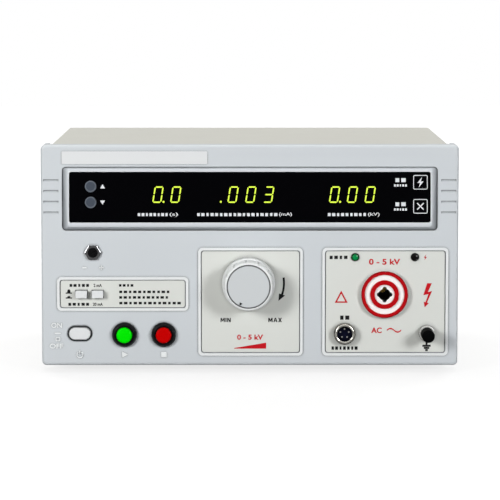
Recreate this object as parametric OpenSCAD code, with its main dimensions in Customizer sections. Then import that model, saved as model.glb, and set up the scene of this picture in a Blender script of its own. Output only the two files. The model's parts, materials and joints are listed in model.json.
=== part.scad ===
// Bench withstand-voltage tester as an assembly of separate pieces, sizes in millimetres.
// +X is right as seen from the front, the front faces -Y, +Z is up and the floor is at z = 0.

/* [Front moulding] */
// width of the front moulding
bezel_w = 320; // [314:1:328]
// height of the front moulding
bezel_h = 170; // [168:0.5:174]
// depth of the front moulding's side walls
bezel_d = 24; // [20:0.5:30]
// thickness of the moulding's face
face_t = 3; // [2.6:0.1:3.4]
// radius of the moulding's four corners
corner_r = 3.4; // [3.2:0.1:8]
// radius of the rolled edge round the face
edge_r = 2.2; // [1:0.1:3]
// depth of the lip that the cover butts on
lip_d = 12; // [11:0.25:14]
// floor to the underside of the moulding
bezel_lift = 5; // [4.5:0.1:5.5]
// length of one side groove
groove_l = 11.6; // [9:0.2:12]
// height of one side groove
groove_h = 2.1; // [1.2:0.1:3]
// depth of one side groove at its upper edge
groove_t = 1.2; // [0.6:0.1:1.5]
// spacing of the side grooves
groove_pitch = 8.25; // [7:0.25:9]
// groove's outer end to the moulding's side
groove_margin = 1.9; // [1.6:0.1:2.4]
// width of the raised rim round a label
rim_w = 2.1; // [1.6:0.1:2.6]
// height of the raised rim
rim_h = 1; // [0.6:0.1:1.6]
// corner radius of the rims
rim_r = 3.6; // [3:0.1:5]

/* [Case] */
// front face to the rear panel's outer face
case_d = 245; // [241:1:258]
// step from the moulding's side to the cover's side
cover_inset = 6; // [5:0.25:8]
// cover's top below the moulding's top
cover_drop = 0.8; // [0.4:0.1:2]
// bend radius of the cover's edges
cover_r = 2.6; // [2:0.1:4]
// thickness of the sheet steel
sheet_t = 1.2; // [1:0.1:1.4]
// height of the tray's side lips
tray_lip_h = 15; // [12:0.5:18]
// height of the tray's front flange
tray_front_h = 11; // [10:0.25:11.5]
// height of the tray's rear flange
tray_rear_h = 14; // [12:0.5:18]
// width of the rear panel's folded flanges
rear_fold = 12; // [10:0.5:14]
// number of cooling slots in each side of the cover
vent_n = 12; // [6:1:14]
// spacing of the cooling slots
vent_pitch = 7; // [6:0.25:8]
// width of a cooling slot
vent_w = 3; // [2:0.1:3.4]
// length of a cooling slot
vent_l = 44; // [30:1:60]
// height of the cooling slots' middle above the floor
vent_z = 92; // [80:1:110]
// front face to the middle of the side slots
vent_y = 172; // [160:1:180]
// number of slots in the rear panel
rear_vent_n = 13; // [8:1:15]
// rear panel's left side to the middle of its slots
rear_vent_side = 82.5; // [76:0.5:90]
// floor to the middle of the rear panel's slots
rear_vent_z = 100; // [92:1:108]

/* [Feet and screws] */
// height of the rubber feet
foot_h = 9; // [8.6:0.1:9.4]
// radius of a foot at the top
foot_r = 11; // [9:0.25:13]
// radius of a foot at the floor
foot_low_r = 9.6; // [8:0.2:11]
// middle of a foot from the middle of the part
foot_x = 124; // [110:1:130]
// front face to the middle of the front feet
foot_front = 58; // [50:1:70]
// middle of the rear feet to the rear panel
foot_rear = 32; // [26:1:45]
// radius of the screw shanks
screw_r = 1.5; // [1.25:0.05:1.6]
// length of the screw shanks
screw_l = 6.5; // [6:0.1:7]
// radius of the screw heads
screw_head_r = 2.8; // [2.4:0.1:3.2]
// height of the screw heads
screw_head_h = 1.9; // [1.4:0.1:2.2]
// front face to the cover's front side screws
side_screw_front = 70; // [66:0.5:76]
// cover's rear side screws to the rear panel's outer face
side_screw_rear = 55; // [48:0.5:60]
// tray's underside to the lower screws of the rear panel's folds
fold_screw_low = 51; // [40:0.5:56]
// cover's top to the upper screws of the rear panel's folds
fold_screw_high = 44.2; // [38:0.2:52]
// rear panel's sides to its outer lower screws
rear_screw_side = 22.5; // [18:0.5:30]

/* [Display] */
// moulding's top to the middle of the dark window
disp_down = 39.8; // [39.5:0.1:41]
// surround's side to the moulding's side
surround_margin = 16.8; // [16:0.1:18]
// height of the surround at the panel
surround_h = 47.8; // [46.6:0.2:49]
// window's middle to the middle of the surround at the panel
surround_low = 1.5; // [1:0.1:2]
// gap round the surround in the moulding
surround_gap = 0.6; // [0.3:0.05:0.8]
// width of the surround's sloping sides
surround_slope = 4; // [3:0.25:5]
// height of the surround's front
surround_face_h = 44.6; // [43.5:0.1:46]
// window's middle to the middle of the surround's front
face_low = 0.6; // [0.3:0.1:0.9]
// rise of the surround at its top edge
surround_top = 1.7; // [1:0.1:2.4]
// rise of the surround at its bottom edge
surround_bottom = 6; // [4.5:0.1:7]
// overlap of the surround's flange behind the panel
surround_lap = 4; // [3:0.25:4.5]
// width of the frame beside the dark window
window_frame = 1.2; // [0.9:0.1:2]
// height of the dark window
window_h = 38.4; // [37:0.1:39]
// thickness of the window
window_t = 2.4; // [2:0.1:3]
// window below the surround's front
window_sink = 0.5; // [0.2:0.1:1]
// ledge that the window lies on
window_ledge = 3; // [2:0.1:3.2]
// depth of a digit block
digit_d = 9.4; // [8.8:0.1:10]
// width of a digit block
digit_w = 12.6; // [11:0.1:13]
// height of a digit block
digit_h = 19; // [17:0.2:20]
// spacing of the digits
digit_pitch = 13.6; // [13.3:0.05:14]
// digits above the window's middle
digit_up = 2; // [1:0.1:3]
// middle of the timer's digits
timer_x = -70.2; // [-73:0.2:-68]
// middle of the current's digits
current_x = -6; // [-9:0.2:-4]
// middle of the voltage's digits
voltage_x = 78.4; // [75:0.2:82]
// side of a square lamp
lamp_w = 8.2; // [7.4:0.1:8.4]
// window's right end to the middle of the lamps
lamp_side = 7.6; // [7:0.1:10]
// upper lamp above the window's middle
lamp_high = 11.2; // [10:0.1:11.4]
// lower lamp below the window's middle
lamp_low = 7; // [6:0.1:9]
// thickness of the circuit boards
board_t = 1.6; // [1.2:0.1:2]

/* [Time buttons] */
// radius of a time button
time_r = 4.35; // [4:0.05:4.6]
// window's left end to the middle of the time buttons
time_side = 16.3; // [14:0.1:19]
// upper button above the window's middle
time_high = 8.2; // [8:0.1:8.6]
// lower button below the window's middle
time_low = 4; // [3.8:0.1:5]
// height of a time button over the window
time_out = 1; // [0.8:0.1:1.6]
// travel of a time button
time_travel = 0.7; // [0.4:0.05:0.9]

/* [Name plate] */
// length of the bare plate
plate_l = 111.6; // [100:0.4:120]
// height of the bare plate
plate_h = 9.8; // [8:0.1:10.4]
// thickness of the bare plate
plate_t = 0.6; // [0.4:0.1:1]
// moulding's top to the middle of the plate
plate_down = 9.8; // [9.2:0.1:10.2]
// moulding's left side to the middle of the plate
plate_side = 71.8; // [68:0.2:80]

/* [Labels] */
// thickness of the label foils
label_t = 0.4; // [0.2:0.05:0.5]
// gap between a label and the rim round it
label_gap = 0.7; // [0.4:0.05:1]
// depth of the groove between a label and its rim
label_groove = 0.5; // [0.3:0.05:0.8]
// moulding's left side to the mode rim
mode_side = 11.9; // [11:0.1:13]
// gap between the mode rim and the adjusting rim
mode_gap = 7.4; // [6:0.1:9]
// mode label above the middle of the control field
mode_rise = 3; // [2.4:0.1:3.6]
// height of the mode rim
mode_h = 26.2; // [24:0.2:27]
// middle of the adjusting label from the middle of the part
adjust_x = 0.5; // [-0.5:0.1:1.5]
// width of the adjusting rim
adjust_w = 80.4; // [78:0.2:82]
// output rim to the moulding's right side
output_side = 7.6; // [7:0.1:9]
// gap between the adjusting rim and the output rim
output_gap = 14.9; // [13:0.1:16]
// moulding's underside to the tall rims
label_low = 7.5; // [6.5:0.1:8.5]
// tall rims to the surround's lower edge
label_high = 13.7; // [12:0.1:15]

/* [Preset control] */
// moulding's left side to the middle of the preset
preset_side = 39.6; // [36:0.2:43]
// surround's lower edge to the middle of the preset
preset_down = 17.4; // [16.6:0.1:18]
// radius of the preset's bush
preset_bush_r = 3.5; // [3.2:0.05:4]
// bush in front of the face
preset_out = 4.4; // [3.4:0.1:5.4]
// radius of the preset's slotted shaft
preset_shaft_r = 2.5; // [2:0.05:2.7]
// radius of the preset's body
preset_body_r = 8; // [7:0.1:8.4]
// depth of the preset's body
preset_body_d = 9.5; // [8:0.1:12]
// distance across the preset nut's flats
preset_nut_af = 11; // [10:0.1:12]
// thickness of the preset nut
preset_nut_t = 2.4; // [1.8:0.1:3]

/* [Latching buttons] */
// width of a latching button
latch_w = 8.7; // [8:0.1:9.8]
// height of a latching button
latch_h = 5.5; // [5:0.1:7]
// released button in front of the face
latch_out = 6; // [5:0.1:7]
// moulding's left side to the middle of the mode button
mode_button_side = 30.7; // [29.6:0.1:31.2]
// spacing of the two latching buttons
latch_pitch = 12.5; // [12.5:0.1:14]
// latching buttons above the middle of the mode label
latch_rise = 0.1; // [0:0.1:0.6]
// travel of a latching button
latch_travel = 3; // [2:0.1:3.5]
// depth of a latching switch
latch_d = 20; // [18:0.25:26]

/* [Power button] */
// length of the power button
power_w = 16.5; // [16:0.1:18]
// height of the power button
power_h = 9.4; // [9:0.1:10.4]
// pressed power button in front of the face
power_out = 0.8; // [0.5:0.1:1.5]
// moulding's left side to the middle of the power button
power_side = 29.2; // [28:0.1:30]
// moulding's underside to the middle of the power button
power_up = 24.6; // [24.4:0.1:25]
// gap round the power button
power_gap = 1.4; // [0.6:0.05:1.5]
// bevel round the power button's opening
power_bevel = 0.9; // [0.5:0.1:1.2]
// travel of the power button
power_travel = 3.5; // [2.5:0.1:4]
// depth of the power switch
power_d = 32; // [30:0.5:40]

/* [Start and stop buttons] */
// radius of the black rings
ring_r = 9.5; // [9:0.1:10]
// rings in front of the face
ring_out = 5; // [4:0.1:6]
// radius of the coloured caps
cap_r = 5.95; // [5.5:0.05:6.2]
// released caps in front of their rings
cap_out = 2.8; // [2.7:0.1:3.4]
// travel of the coloured caps
cap_travel = 2.5; // [1.5:0.1:2.6]
// radius of the button barrels
barrel_r = 7.8; // [7.5:0.05:7.9]
// depth of the button barrels behind the face
barrel_d = 24; // [20:0.5:28]
// distance across the flats of the rings' nuts
ring_nut_af = 19; // [18:0.25:20]
// thickness of the rings' nuts
ring_nut_t = 3; // [2.4:0.1:4]
// moulding's left side to the middle of the start button
start_side = 63.6; // [63:0.1:65]
// spacing of the start and stop buttons
start_pitch = 30.2; // [29:0.1:31]
// moulding's underside to the middle of both buttons
start_up = 24; // [23.8:0.1:24.6]

/* [Voltage knob and variable transformer] */
// middle of the knob from the middle of the part
knob_x = -1; // [-2:0.1:1]
// knob above the middle of the control field
knob_rise = 11.4; // [10.5:0.1:12]
// radius of the knob at the panel
knob_r = 20.4; // [19:0.1:21]
// height of the knob's smooth skirt
skirt_h = 10; // [8:0.25:12]
// radius of the knob's grip at the skirt
grip_r = 19; // [18.6:0.1:19.4]
// radius of the knob at its front
knob_front_r = 18.5; // [18.2:0.1:19]
// height of the knob
knob_h = 25; // [22:0.25:28]
// gap between the knob and the label
knob_gap = 1; // [0.8:0.1:2]
// number of grip notches round the knob
notch_n = 12; // [8:1:16]
// radius of a grip notch
notch_r = 1.1; // [0.8:0.05:1.4]
// radius of the disc in the knob's front
disc_r = 16.2; // [15:0.1:16.6]
// gap round the disc
disc_gap = 0.5; // [0.2:0.05:0.6]
// thickness of the disc
disc_t = 2.6; // [2:0.1:3]
// pointer's rest angle, anticlockwise from the right
knob_rest = 246; // [236:1:252]
// radius of the shaft
shaft_r = 3; // [2.8:0.05:3.3]
// front face to the front of the variable transformer's stand
stand_y = 34; // [30:0.5:38]
// thickness of the stand
stand_t = 4; // [3:0.1:5]
// width of the stand
stand_w = 84; // [76:1:90]
// outer radius of the ring winding
coil_r = 44; // [40:0.5:46]
// inner radius of the ring winding
coil_in_r = 22; // [20:0.5:24]
// depth of the ring winding
coil_d = 36; // [30:0.5:40]
// radius at which the brush runs
brush_at = 34; // [31:0.5:36]
// radius of the brush arm's hub
hub_r = 8; // [7:0.25:9]
// rise of the hub over the arm
hub_rise = 3; // [2:0.1:4]
// width of the brush arm
arm_w = 10; // [8:0.25:12]
// brush arm beyond the brush's middle
arm_over = 5; // [4.5:0.1:6]
// length of the stand's foot
stand_foot = 28; // [26:0.5:29]

/* [High-voltage socket] */
// socket to the left of the output label's middle
hv_shift = 0.6; // [0:0.1:1.5]
// socket above the middle of the control field
hv_rise = 2.8; // [2.1:0.1:3.5]
// radius of the socket's flange
hv_r = 18; // [17:0.1:18.6]
// thickness of the flange
hv_t = 3; // [2.4:0.1:4]
// inner radius of the outer red ring
hv_ring_in = 15.2; // [14.4:0.1:15.8]
// outer radius of the inner red ring
hv_hub_r = 11; // [10.4:0.1:11.6]
// inner radius of the inner red ring
hv_hub_in = 7.7; // [7:0.1:8.4]
// rise of the rings over the flange
hv_ring_h = 1.6; // [1:0.1:2.4]
// radius of the plug's bore
hv_bore_r = 4.6; // [4.2:0.1:4.8]
// radius of the four key slots in the bore's mouth
hv_key_r = 1.7; // [1.4:0.1:1.9]
// middle of the key slots from the bore's middle
hv_key_at = 4.3; // [4:0.1:4.5]
// depth of the key slots
hv_key_d = 8; // [6:0.25:10]
// depth of the bore behind the face
hv_bore_d = 32; // [28:0.5:34]
// radius of the socket's barrel
hv_barrel_r = 12; // [11.4:0.1:12.6]
// length of the barrel behind the face
hv_barrel_d = 40; // [39:0.5:44]
// radius of the contact stud
hv_contact_r = 2.5; // [2:0.1:3]
// distance across the socket nut's flats
hv_nut_af = 31; // [29:0.25:32]
// thickness of the socket nut
hv_nut_t = 6; // [4:0.25:7]

/* [Lamps beside the socket] */
// radius of the two round lamps
led_r = 3.2; // [2.8:0.05:3.5]
// rise of a lamp's straight part in front of the face
led_out = 1; // [0.8:0.1:1.8]
// output rim's left side to the middle of the green lamp
led_left_side = 25.2; // [24:0.1:26.5]
// middle of the warning lamp to the output rim's right side
led_right_side = 25.8; // [24.5:0.1:27]
// top of the output rim to the middle of the lamps
led_down = 7.3; // [7:0.1:8]

/* [Control socket] */
// output rim's left side to the middle of the control socket
control_side = 17.2; // [16.4:0.1:18.4]
// moulding's underside to the middle of the control socket
control_up = 25; // [24.6:0.1:25.6]
// outer radius of the shell
control_r = 8.3; // [8.1:0.05:8.6]
// inner radius of the shell
control_in_r = 5.9; // [5.6:0.05:6.1]
// shell in front of the face
control_out = 7; // [6.6:0.1:8]
// radius of the shell's thread behind the face
control_thread_r = 7.7; // [7.4:0.05:7.9]
// insert's front in front of the face
control_insert = 0.5; // [0:0.1:0.6]
// number of pins
pin_n = 5; // [4:1:6]
// radius of the pin circle
pin_at = 3.4; // [3:0.05:3.7]
// radius of a pin
pin_r = 0.6; // [0.5:0.05:0.7]
// pins in front of the insert
pin_out = 1.4; // [1:0.1:1.5]
// distance across the control nut's flats
control_nut_af = 20; // [19:0.1:21]
// thickness of the control nut
control_nut_t = 3; // [2.4:0.1:4]

/* [Ground post] */
// middle of the ground post to the output rim's right side
ground_side = 16.4; // [16:0.1:17.4]
// moulding's underside to the middle of the ground post
ground_up = 25.2; // [24.8:0.1:25.6]
// radius of the post's collar
collar_r = 6.4; // [6:0.1:7]
// thickness of the post's collar
collar_t = 4; // [3:0.1:5]
// radius of the stud
stud_r = 2.5; // [2.2:0.05:2.7]
// stud in front of the collar
stud_out = 15.5; // [15:0.1:17]
// distance across the stud nut's flats
stud_nut_af = 8; // [7.5:0.1:9]
// thickness of the stud's nut
stud_nut_t = 4; // [3:0.1:5]
// radius of the clamping washer
clamp_r = 5.4; // [5.2:0.1:6]
// thickness of the clamping washer
clamp_t = 1.4; // [1:0.1:2]
// radius of the black cap
post_r = 4.9; // [4.7:0.1:5.2]
// height of the black cap
post_h = 18.6; // [18:0.1:20]
// travel of the cap when it is unscrewed
post_travel = 4; // [3:0.1:5]

/* [Mains inlet and fuse] */
// rear panel's right side to the middle of the inlet
inlet_side = 54.5; // [44:0.5:70]
// floor to the middle of the inlet
inlet_z = 46; // [44:0.5:60]
// width of the inlet's flange
inlet_w = 50; // [48:0.5:52]
// height of the inlet's flange
inlet_h = 36; // [35:0.25:38]
// thickness of the inlet's flange
inlet_t = 2.4; // [2:0.1:3]
// spacing of the inlet's screws
inlet_pitch = 40; // [39:0.25:41]
// depth of the inlet's housing
inlet_d = 24; // [23:0.25:26]
// depth of the plug's cavity behind the panel
cavity_d = 16; // [15:0.25:17]
// width of the plug's cavity
cavity_w = 24.6; // [24:0.1:25]
// height of the plug's cavity
cavity_h = 16.8; // [16:0.1:17]
// tips of the inlet's pins behind the panel
inlet_tip = 3.8; // [3.2:0.1:5]
// width of the fuse drawer
drawer_w = 19; // [17:0.1:19.6]
// height of the fuse drawer
drawer_h = 7.6; // [7.2:0.1:8]
// radius of the fuse
fuse_r = 2.6; // [2.4:0.05:2.7]
// length of the fuse
fuse_l = 18; // [16:0.1:18.4]

/* [Parts inside] */
// width of the high-voltage transformer's core
core_w = 96; // [90:1:100]
// height of the core
core_h = 80; // [76:1:86]
// thickness of the core's stack
core_t = 46; // [40:1:50]
// middle of the core to the case's right side
core_side = 68; // [64:1:72]
// middle of the core to the rear panel's outer face
core_back = 87; // [80:1:95]
// overhang of the core's coil
core_over = 15; // [10:0.5:17]
// width of the main board
main_w = 92; // [86:1:94]
// length of the main board
main_l = 156; // [150:1:160]
// tray's left side to the middle of the main board
main_side = 52.5; // [51:0.25:54]
// middle of the main board to the rear panel's outer face
main_back = 97; // [95:0.5:99]
// height of the board pillars
pillar_h = 12; // [11.4:0.2:14]
// length of a relay
relay_l = 19; // [17:0.25:20]
// width of a relay
relay_w = 15; // [13:0.25:16]
// height of a relay
relay_h = 15.5; // [14:0.25:18]
// spacing of the relays
relay_pitch = 18; // [17:0.25:20]
// radius of a capacitor can
can_r = 8; // [7:0.25:9]
// height of a capacitor can
can_h = 26; // [22:0.5:30]
// spacing of the capacitor cans
can_pitch = 21; // [20:0.25:22]
// width of the supply transformer
supply_w = 38; // [34:0.5:40]
// length of the supply transformer
supply_l = 34; // [30:0.5:36]
// height of the supply transformer
supply_h = 30; // [26:0.5:34]
// width of the heat sink
sink_w = 28; // [24:0.5:30]
// length of the heat sink
sink_l = 40; // [39:0.5:42]
// height of the heat sink
sink_h = 32; // [28:0.5:36]

/* [Fits] */
// gap round pieces that are placed loosely
fit_gap = 0.3; // [0.25:0.01:0.35]
// gap round pins that run or thread in a hole
run_gap = 0.05; // [0.03:0.01:0.08]

/* [Hidden] */
$fn = 64;

case_w = bezel_w - 2 * cover_inset;
bezel_top = bezel_lift + bezel_h;
bezel_mid = bezel_lift + bezel_h / 2;
cover_top = bezel_top - cover_drop;
tray_z = foot_h;
tray_top = tray_z + sheet_t;
inner_w = case_w - 2 * sheet_t - 2 * fit_gap;
tray_y0 = lip_d + fit_gap;
tray_y1 = case_d - sheet_t;
hole_r = screw_r + run_gap;
front_reach = label_t + knob_gap + knob_h;
rear_reach = inlet_t + max(screw_head_h, 1.8);
front_y = (front_reach - case_d - rear_reach) / 2;

surround_w = bezel_w - 2 * surround_margin;
surround_face_w = surround_w - 2 * surround_slope;
window_w = surround_face_w - 2 * window_frame;
lamp_x = window_w / 2 - lamp_side;
time_x = time_side - window_w / 2;
lean = (surround_bottom - surround_top) / surround_face_h;
tilt = atan(lean);
rise = surround_top + (surround_face_h / 2 - face_low) * lean;
disp_z = bezel_top - disp_down;
surround_z = disp_z - surround_low;
through = 2 * bezel_d;
window_back = -window_sink - window_t;
digit_front = window_back - 0.4;
board_front = digit_front - digit_d;
disp_board_w = surround_w - 3;
disp_board_h = surround_face_h - 3.4;
boss_x = (surround_w + window_w - 2 * window_ledge) / 4;
boss_v = surround_h / 4;

// The control field lies between the moulding's underside and the surround's lower edge
field_h = surround_z - surround_h / 2 - bezel_lift;
mode_up = field_h / 2 + mode_rise;
latch_up = mode_up + latch_rise;
knob_up = field_h / 2 + knob_rise;
hv_up = field_h / 2 + hv_rise;
preset_up = field_h - preset_down;
label_h = field_h - label_low - label_high;
label_up = label_low + label_h / 2;
led_up = label_low + label_h - led_down;
left = -bezel_w / 2;
plate_x = left + plate_side;
mode_left = left + mode_side;
mode_right = adjust_x - adjust_w / 2 - mode_gap;
mode_w = mode_right - mode_left;
mode_x = (mode_left + mode_right) / 2;
preset_x = left + preset_side;
mode_button_x = left + mode_button_side;
range_button_x = mode_button_x + latch_pitch;
power_x = left + power_side;
start_x = left + start_side;
stop_x = start_x + start_pitch;
output_left = adjust_x + adjust_w / 2 + output_gap;
output_right = bezel_w / 2 - output_side;
output_w = output_right - output_left;
output_x = (output_left + output_right) / 2;
hv_x = output_x - hv_shift;
led_left = output_left + led_left_side;
led_right = output_right - led_right_side;
control_x = output_left + control_side;
ground_x = output_right - ground_side;
core_x = case_w / 2 - core_side;
core_y = case_d - core_back;
main_x = main_side - inner_w / 2;
main_y = case_d - main_back;
inlet_x = inner_w / 2 - inlet_side;
rear_vent_x = rear_vent_side - inner_w / 2;
rear_h = cover_top - sheet_t - fit_gap - tray_z;
knob_z = bezel_lift + knob_up;
coil_y = stand_y + stand_t;
arm_y = coil_y + coil_d + 4.6;
arm_t = 4;
spigot_d = 12;
latch_pocket = latch_travel + 1.6;
power_pocket = power_travel + 5;
barrel_floor = -cap_travel - 2;
power_open_w = power_w + 2 * power_gap;
power_open_h = power_h + 2 * power_gap;
latch_gap = fit_gap + 0.1;
housing_w = cavity_w + 3.4;
housing_h = inlet_h - 4;
cavity_up = housing_h / 2 - cavity_h / 2 - 1.6;
drawer_down = housing_h / 2 - drawer_h / 2 - fit_gap - 1.7;
core_leg = core_w / 3;
core_win_h = core_h - core_leg;
core_foot = 12;
part_side = 12;
part_back = 13;
row_gap = 12;
relay_back = main_l / 2 - part_back - relay_l;
can_back = relay_back - row_gap - can_r;
main_z = tray_top + pillar_h;
bezel_boss = [10.5 - inner_w / 2, -48, 48, inner_w / 2 - 10.5];
boss_z = tray_top + 5;
LABELS = [[mode_x, bezel_lift + mode_up, mode_w, mode_h],
  [adjust_x, bezel_lift + label_up, adjust_w, label_h],
  [output_x, bezel_lift + label_up, output_w, label_h]];

// Helpers
module rrect(w, h, r) {
  square([w - 2 * r, h], center = true);
  square([w, h - 2 * r], center = true);
  for (x = [-1, 1], y = [-1, 1]) translate([x * (w / 2 - r), y * (h / 2 - r)]) circle(r);
}

module stadium(l, h) {
  square([l - h, h], center = true);
  for (s = [-1, 1]) translate([s * (l - h) / 2, 0]) circle(h / 2);
}

module arch(w, h, r) {
  translate([-w / 2, 0]) square([w, h - r]);
  translate([-w / 2 + r, 0]) square([w - 2 * r, h]);
  for (s = [-1, 1]) translate([s * (w / 2 - r), h - r]) circle(r);
}

// Place a piece on the front: its z points out of the face, its y points up
module on_front(x, z, out = 0) {
  translate([x, front_y - out, z]) rotate([90, 0, 0]) children();
}

// Place a piece on the rear: its z points out of the rear panel
module on_rear(x, z, out = 0) {
  translate([x, front_y + case_d + out, z]) rotate([90, 0, 180]) children();
}

// Place a piece on the leaning plane of the display surround
module on_display(x, v, out = 0) {
  translate([0, front_y, disp_z]) rotate([90, 0, 0]) translate([0, 0, rise]) rotate([-tilt, 0, 0])
    translate([x, v, out]) children();
}

module rod(r, a, b) {
  translate([0, 0, a]) cylinder(r = r, h = b - a);
}

module block(w, h, a, b) {
  translate([-w / 2, -h / 2, a]) cube([w, h, b - a]);
}

module pipe(r, hole, a, b) {
  difference() {
    rod(r, a, b);
    rod(hole, a - 1, b + 1);
  }
}

module hex_nut(af, hole, t) {
  difference() {
    cylinder(r = af / 2 / cos(30), h = t, $fn = 6);
    translate([0, 0, -1]) cylinder(r = hole, h = t + 2);
  }
}

module pan_screw() {
  difference() {
    rotate_extrude() polygon([[0, -screw_l], [screw_r, -screw_l], [screw_r, 0], [screw_head_r, 0],
      [screw_head_r, screw_head_h * 0.55], [screw_head_r * 0.7, screw_head_h], [0, screw_head_h]]);
    for (a = [0, 90]) rotate(a) block(screw_head_r * 1.1, 0.7, screw_head_h * 0.45, screw_head_h + 1);
  }
}

// Front moulding and what is laid on it
module bezel_blank() {
  $fn = 24;
  hull() {
    for (t = [0 : 30 : 90]) let (in = edge_r * (1 - cos(t)))
      translate([0, 0, -edge_r * (1 - sin(t)) - 0.02]) linear_extrude(0.02)
        rrect(bezel_w - 2 * in, bezel_h - 2 * in, corner_r - in);
    translate([0, 0, -bezel_d]) linear_extrude(0.02) rrect(bezel_w, bezel_h, corner_r);
  }
}

module front_bezel() color("gainsboro") {
  difference() {
    union() {
      difference() {
        on_front(0, bezel_mid) bezel_blank();
        translate([-case_w / 2 + sheet_t + 1.5, front_y + face_t, tray_top + 1])
          cube([case_w - 2 * sheet_t - 3, bezel_d, cover_top - sheet_t - 2 - tray_top - 1]);
        translate([-case_w / 2 - fit_gap, front_y + lip_d, tray_z - fit_gap])
          cube([case_w + 2 * fit_gap, bezel_d, bezel_h]);
      }
      for (l = LABELS) on_front(l[0], l[1]) translate([0, 0, -0.5]) linear_extrude(rim_h + 0.5) difference() {
        rrect(l[2], l[3], rim_r);
        rrect(l[2] - 2 * rim_w, l[3] - 2 * rim_w, rim_r - rim_w * 0.7);
      }
      for (x = bezel_boss) on_front(x, boss_z) rod(3.6, -lip_d, -face_t + 0.5);
    }
    for (l = LABELS) on_front(l[0], l[1]) translate([0, 0, -label_groove]) linear_extrude(label_groove) difference() {
      rrect(l[2] - 2 * rim_w, l[3] - 2 * rim_w, rim_r - rim_w * 0.7);
      label_blank(l);
    }
    for (s = [-1, 1], i = [-1.5 : 1 : 1.5])
      on_front(s * (bezel_w / 2 - groove_margin - groove_l / 2), disp_z + i * groove_pitch)
        translate([-groove_l / 2, 0, 0]) rotate([90, 0, 90]) linear_extrude(groove_l)
          polygon([[groove_h / 2, 0.5], [groove_h / 2, -groove_t], [-groove_h / 2, 0], [-groove_h / 2, 0.5]]);
    for (x = bezel_boss) on_front(x, boss_z) rod(hole_r, -lip_d - 1, -face_t - 2);
    on_front(0, surround_z) translate([0, 0, -face_t - 1]) linear_extrude(face_t + 2)
      rrect(surround_w + 2 * surround_gap, surround_h + 2 * surround_gap, 2.5 + surround_gap);
    on_front(preset_x, bezel_lift + preset_up) rod(preset_bush_r + run_gap, -face_t - 1, 1);
    for (x = [mode_button_x, range_button_x]) on_front(x, bezel_lift + latch_up)
      block(latch_w + 2 * latch_gap, latch_h + 2 * latch_gap, -face_t - 1, 2);
    on_front(power_x, bezel_lift + power_up) {
      translate([0, 0, -face_t - 1]) linear_extrude(face_t + 2) stadium(power_open_w, power_open_h);
      power_bevel_cut();
    }
    for (x = [start_x, stop_x]) on_front(x, bezel_lift + start_up) rod(barrel_r + run_gap, -face_t - 1, 1);
    on_front(knob_x, knob_z) rod(shaft_r + 1.2, -face_t - 1, 1);
    on_front(hv_x, bezel_lift + hv_up) rod(hv_barrel_r + run_gap, -face_t - 1, 1);
    for (x = [led_left, led_right]) on_front(x, bezel_lift + led_up) rod(led_r + run_gap, -face_t - 1, 1);
    on_front(control_x, bezel_lift + control_up) rod(control_thread_r + run_gap, -face_t - 1, 1);
    on_front(ground_x, bezel_lift + ground_up) rod(stud_r + run_gap, -face_t - 1, 1);
  }
}

module power_bevel_cut() {
  reach = (power_open_w - power_open_h) / 2;
  for (s = [-1, 1]) translate([s * reach, 0, -power_bevel])
    cylinder(r1 = power_open_h / 2, r2 = power_open_h / 2 + 2 * power_bevel, h = 2 * power_bevel);
  translate([-reach, 0, 0]) rotate([90, 0, 90]) linear_extrude(2 * reach) polygon([[-power_open_h / 2, -power_bevel],
    [power_open_h / 2, -power_bevel], [power_open_h / 2 + 2 * power_bevel, power_bevel],
    [-power_open_h / 2 - 2 * power_bevel, power_bevel]]);
}

module label_blank(l) {
  rrect(l[2] - 2 * rim_w - 2 * label_gap, l[3] - 2 * rim_w - 2 * label_gap, rim_r - rim_w * 0.7 - label_gap / 2);
}

module mode_label() color("whitesmoke") on_front(LABELS[0][0], LABELS[0][1]) linear_extrude(label_t) difference() {
  label_blank(LABELS[0]);
  for (x = [mode_button_x, range_button_x]) translate([x - mode_x, latch_up - mode_up])
    square([latch_w + 2 * latch_gap, latch_h + 2 * latch_gap], center = true);
}

module adjust_label() color("whitesmoke") on_front(LABELS[1][0], LABELS[1][1]) linear_extrude(label_t) difference() {
  label_blank(LABELS[1]);
  translate([knob_x - adjust_x, knob_up - label_up]) circle(shaft_r + 1.2);
}

module output_label() color("whitesmoke") on_front(LABELS[2][0], LABELS[2][1]) linear_extrude(label_t) difference() {
  label_blank(LABELS[2]);
  translate([hv_x - output_x, hv_up - label_up]) circle(hv_barrel_r + run_gap);
  for (x = [led_left, led_right]) translate([x - output_x, led_up - label_up]) circle(led_r + run_gap);
  translate([control_x - output_x, control_up - label_up]) circle(control_thread_r + run_gap);
  translate([ground_x - output_x, ground_up - label_up]) circle(stud_r + run_gap);
}

module name_plate() color("silver") on_front(plate_x, bezel_top - plate_down)
  linear_extrude(plate_t) rrect(plate_l, plate_h, 1);

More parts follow.
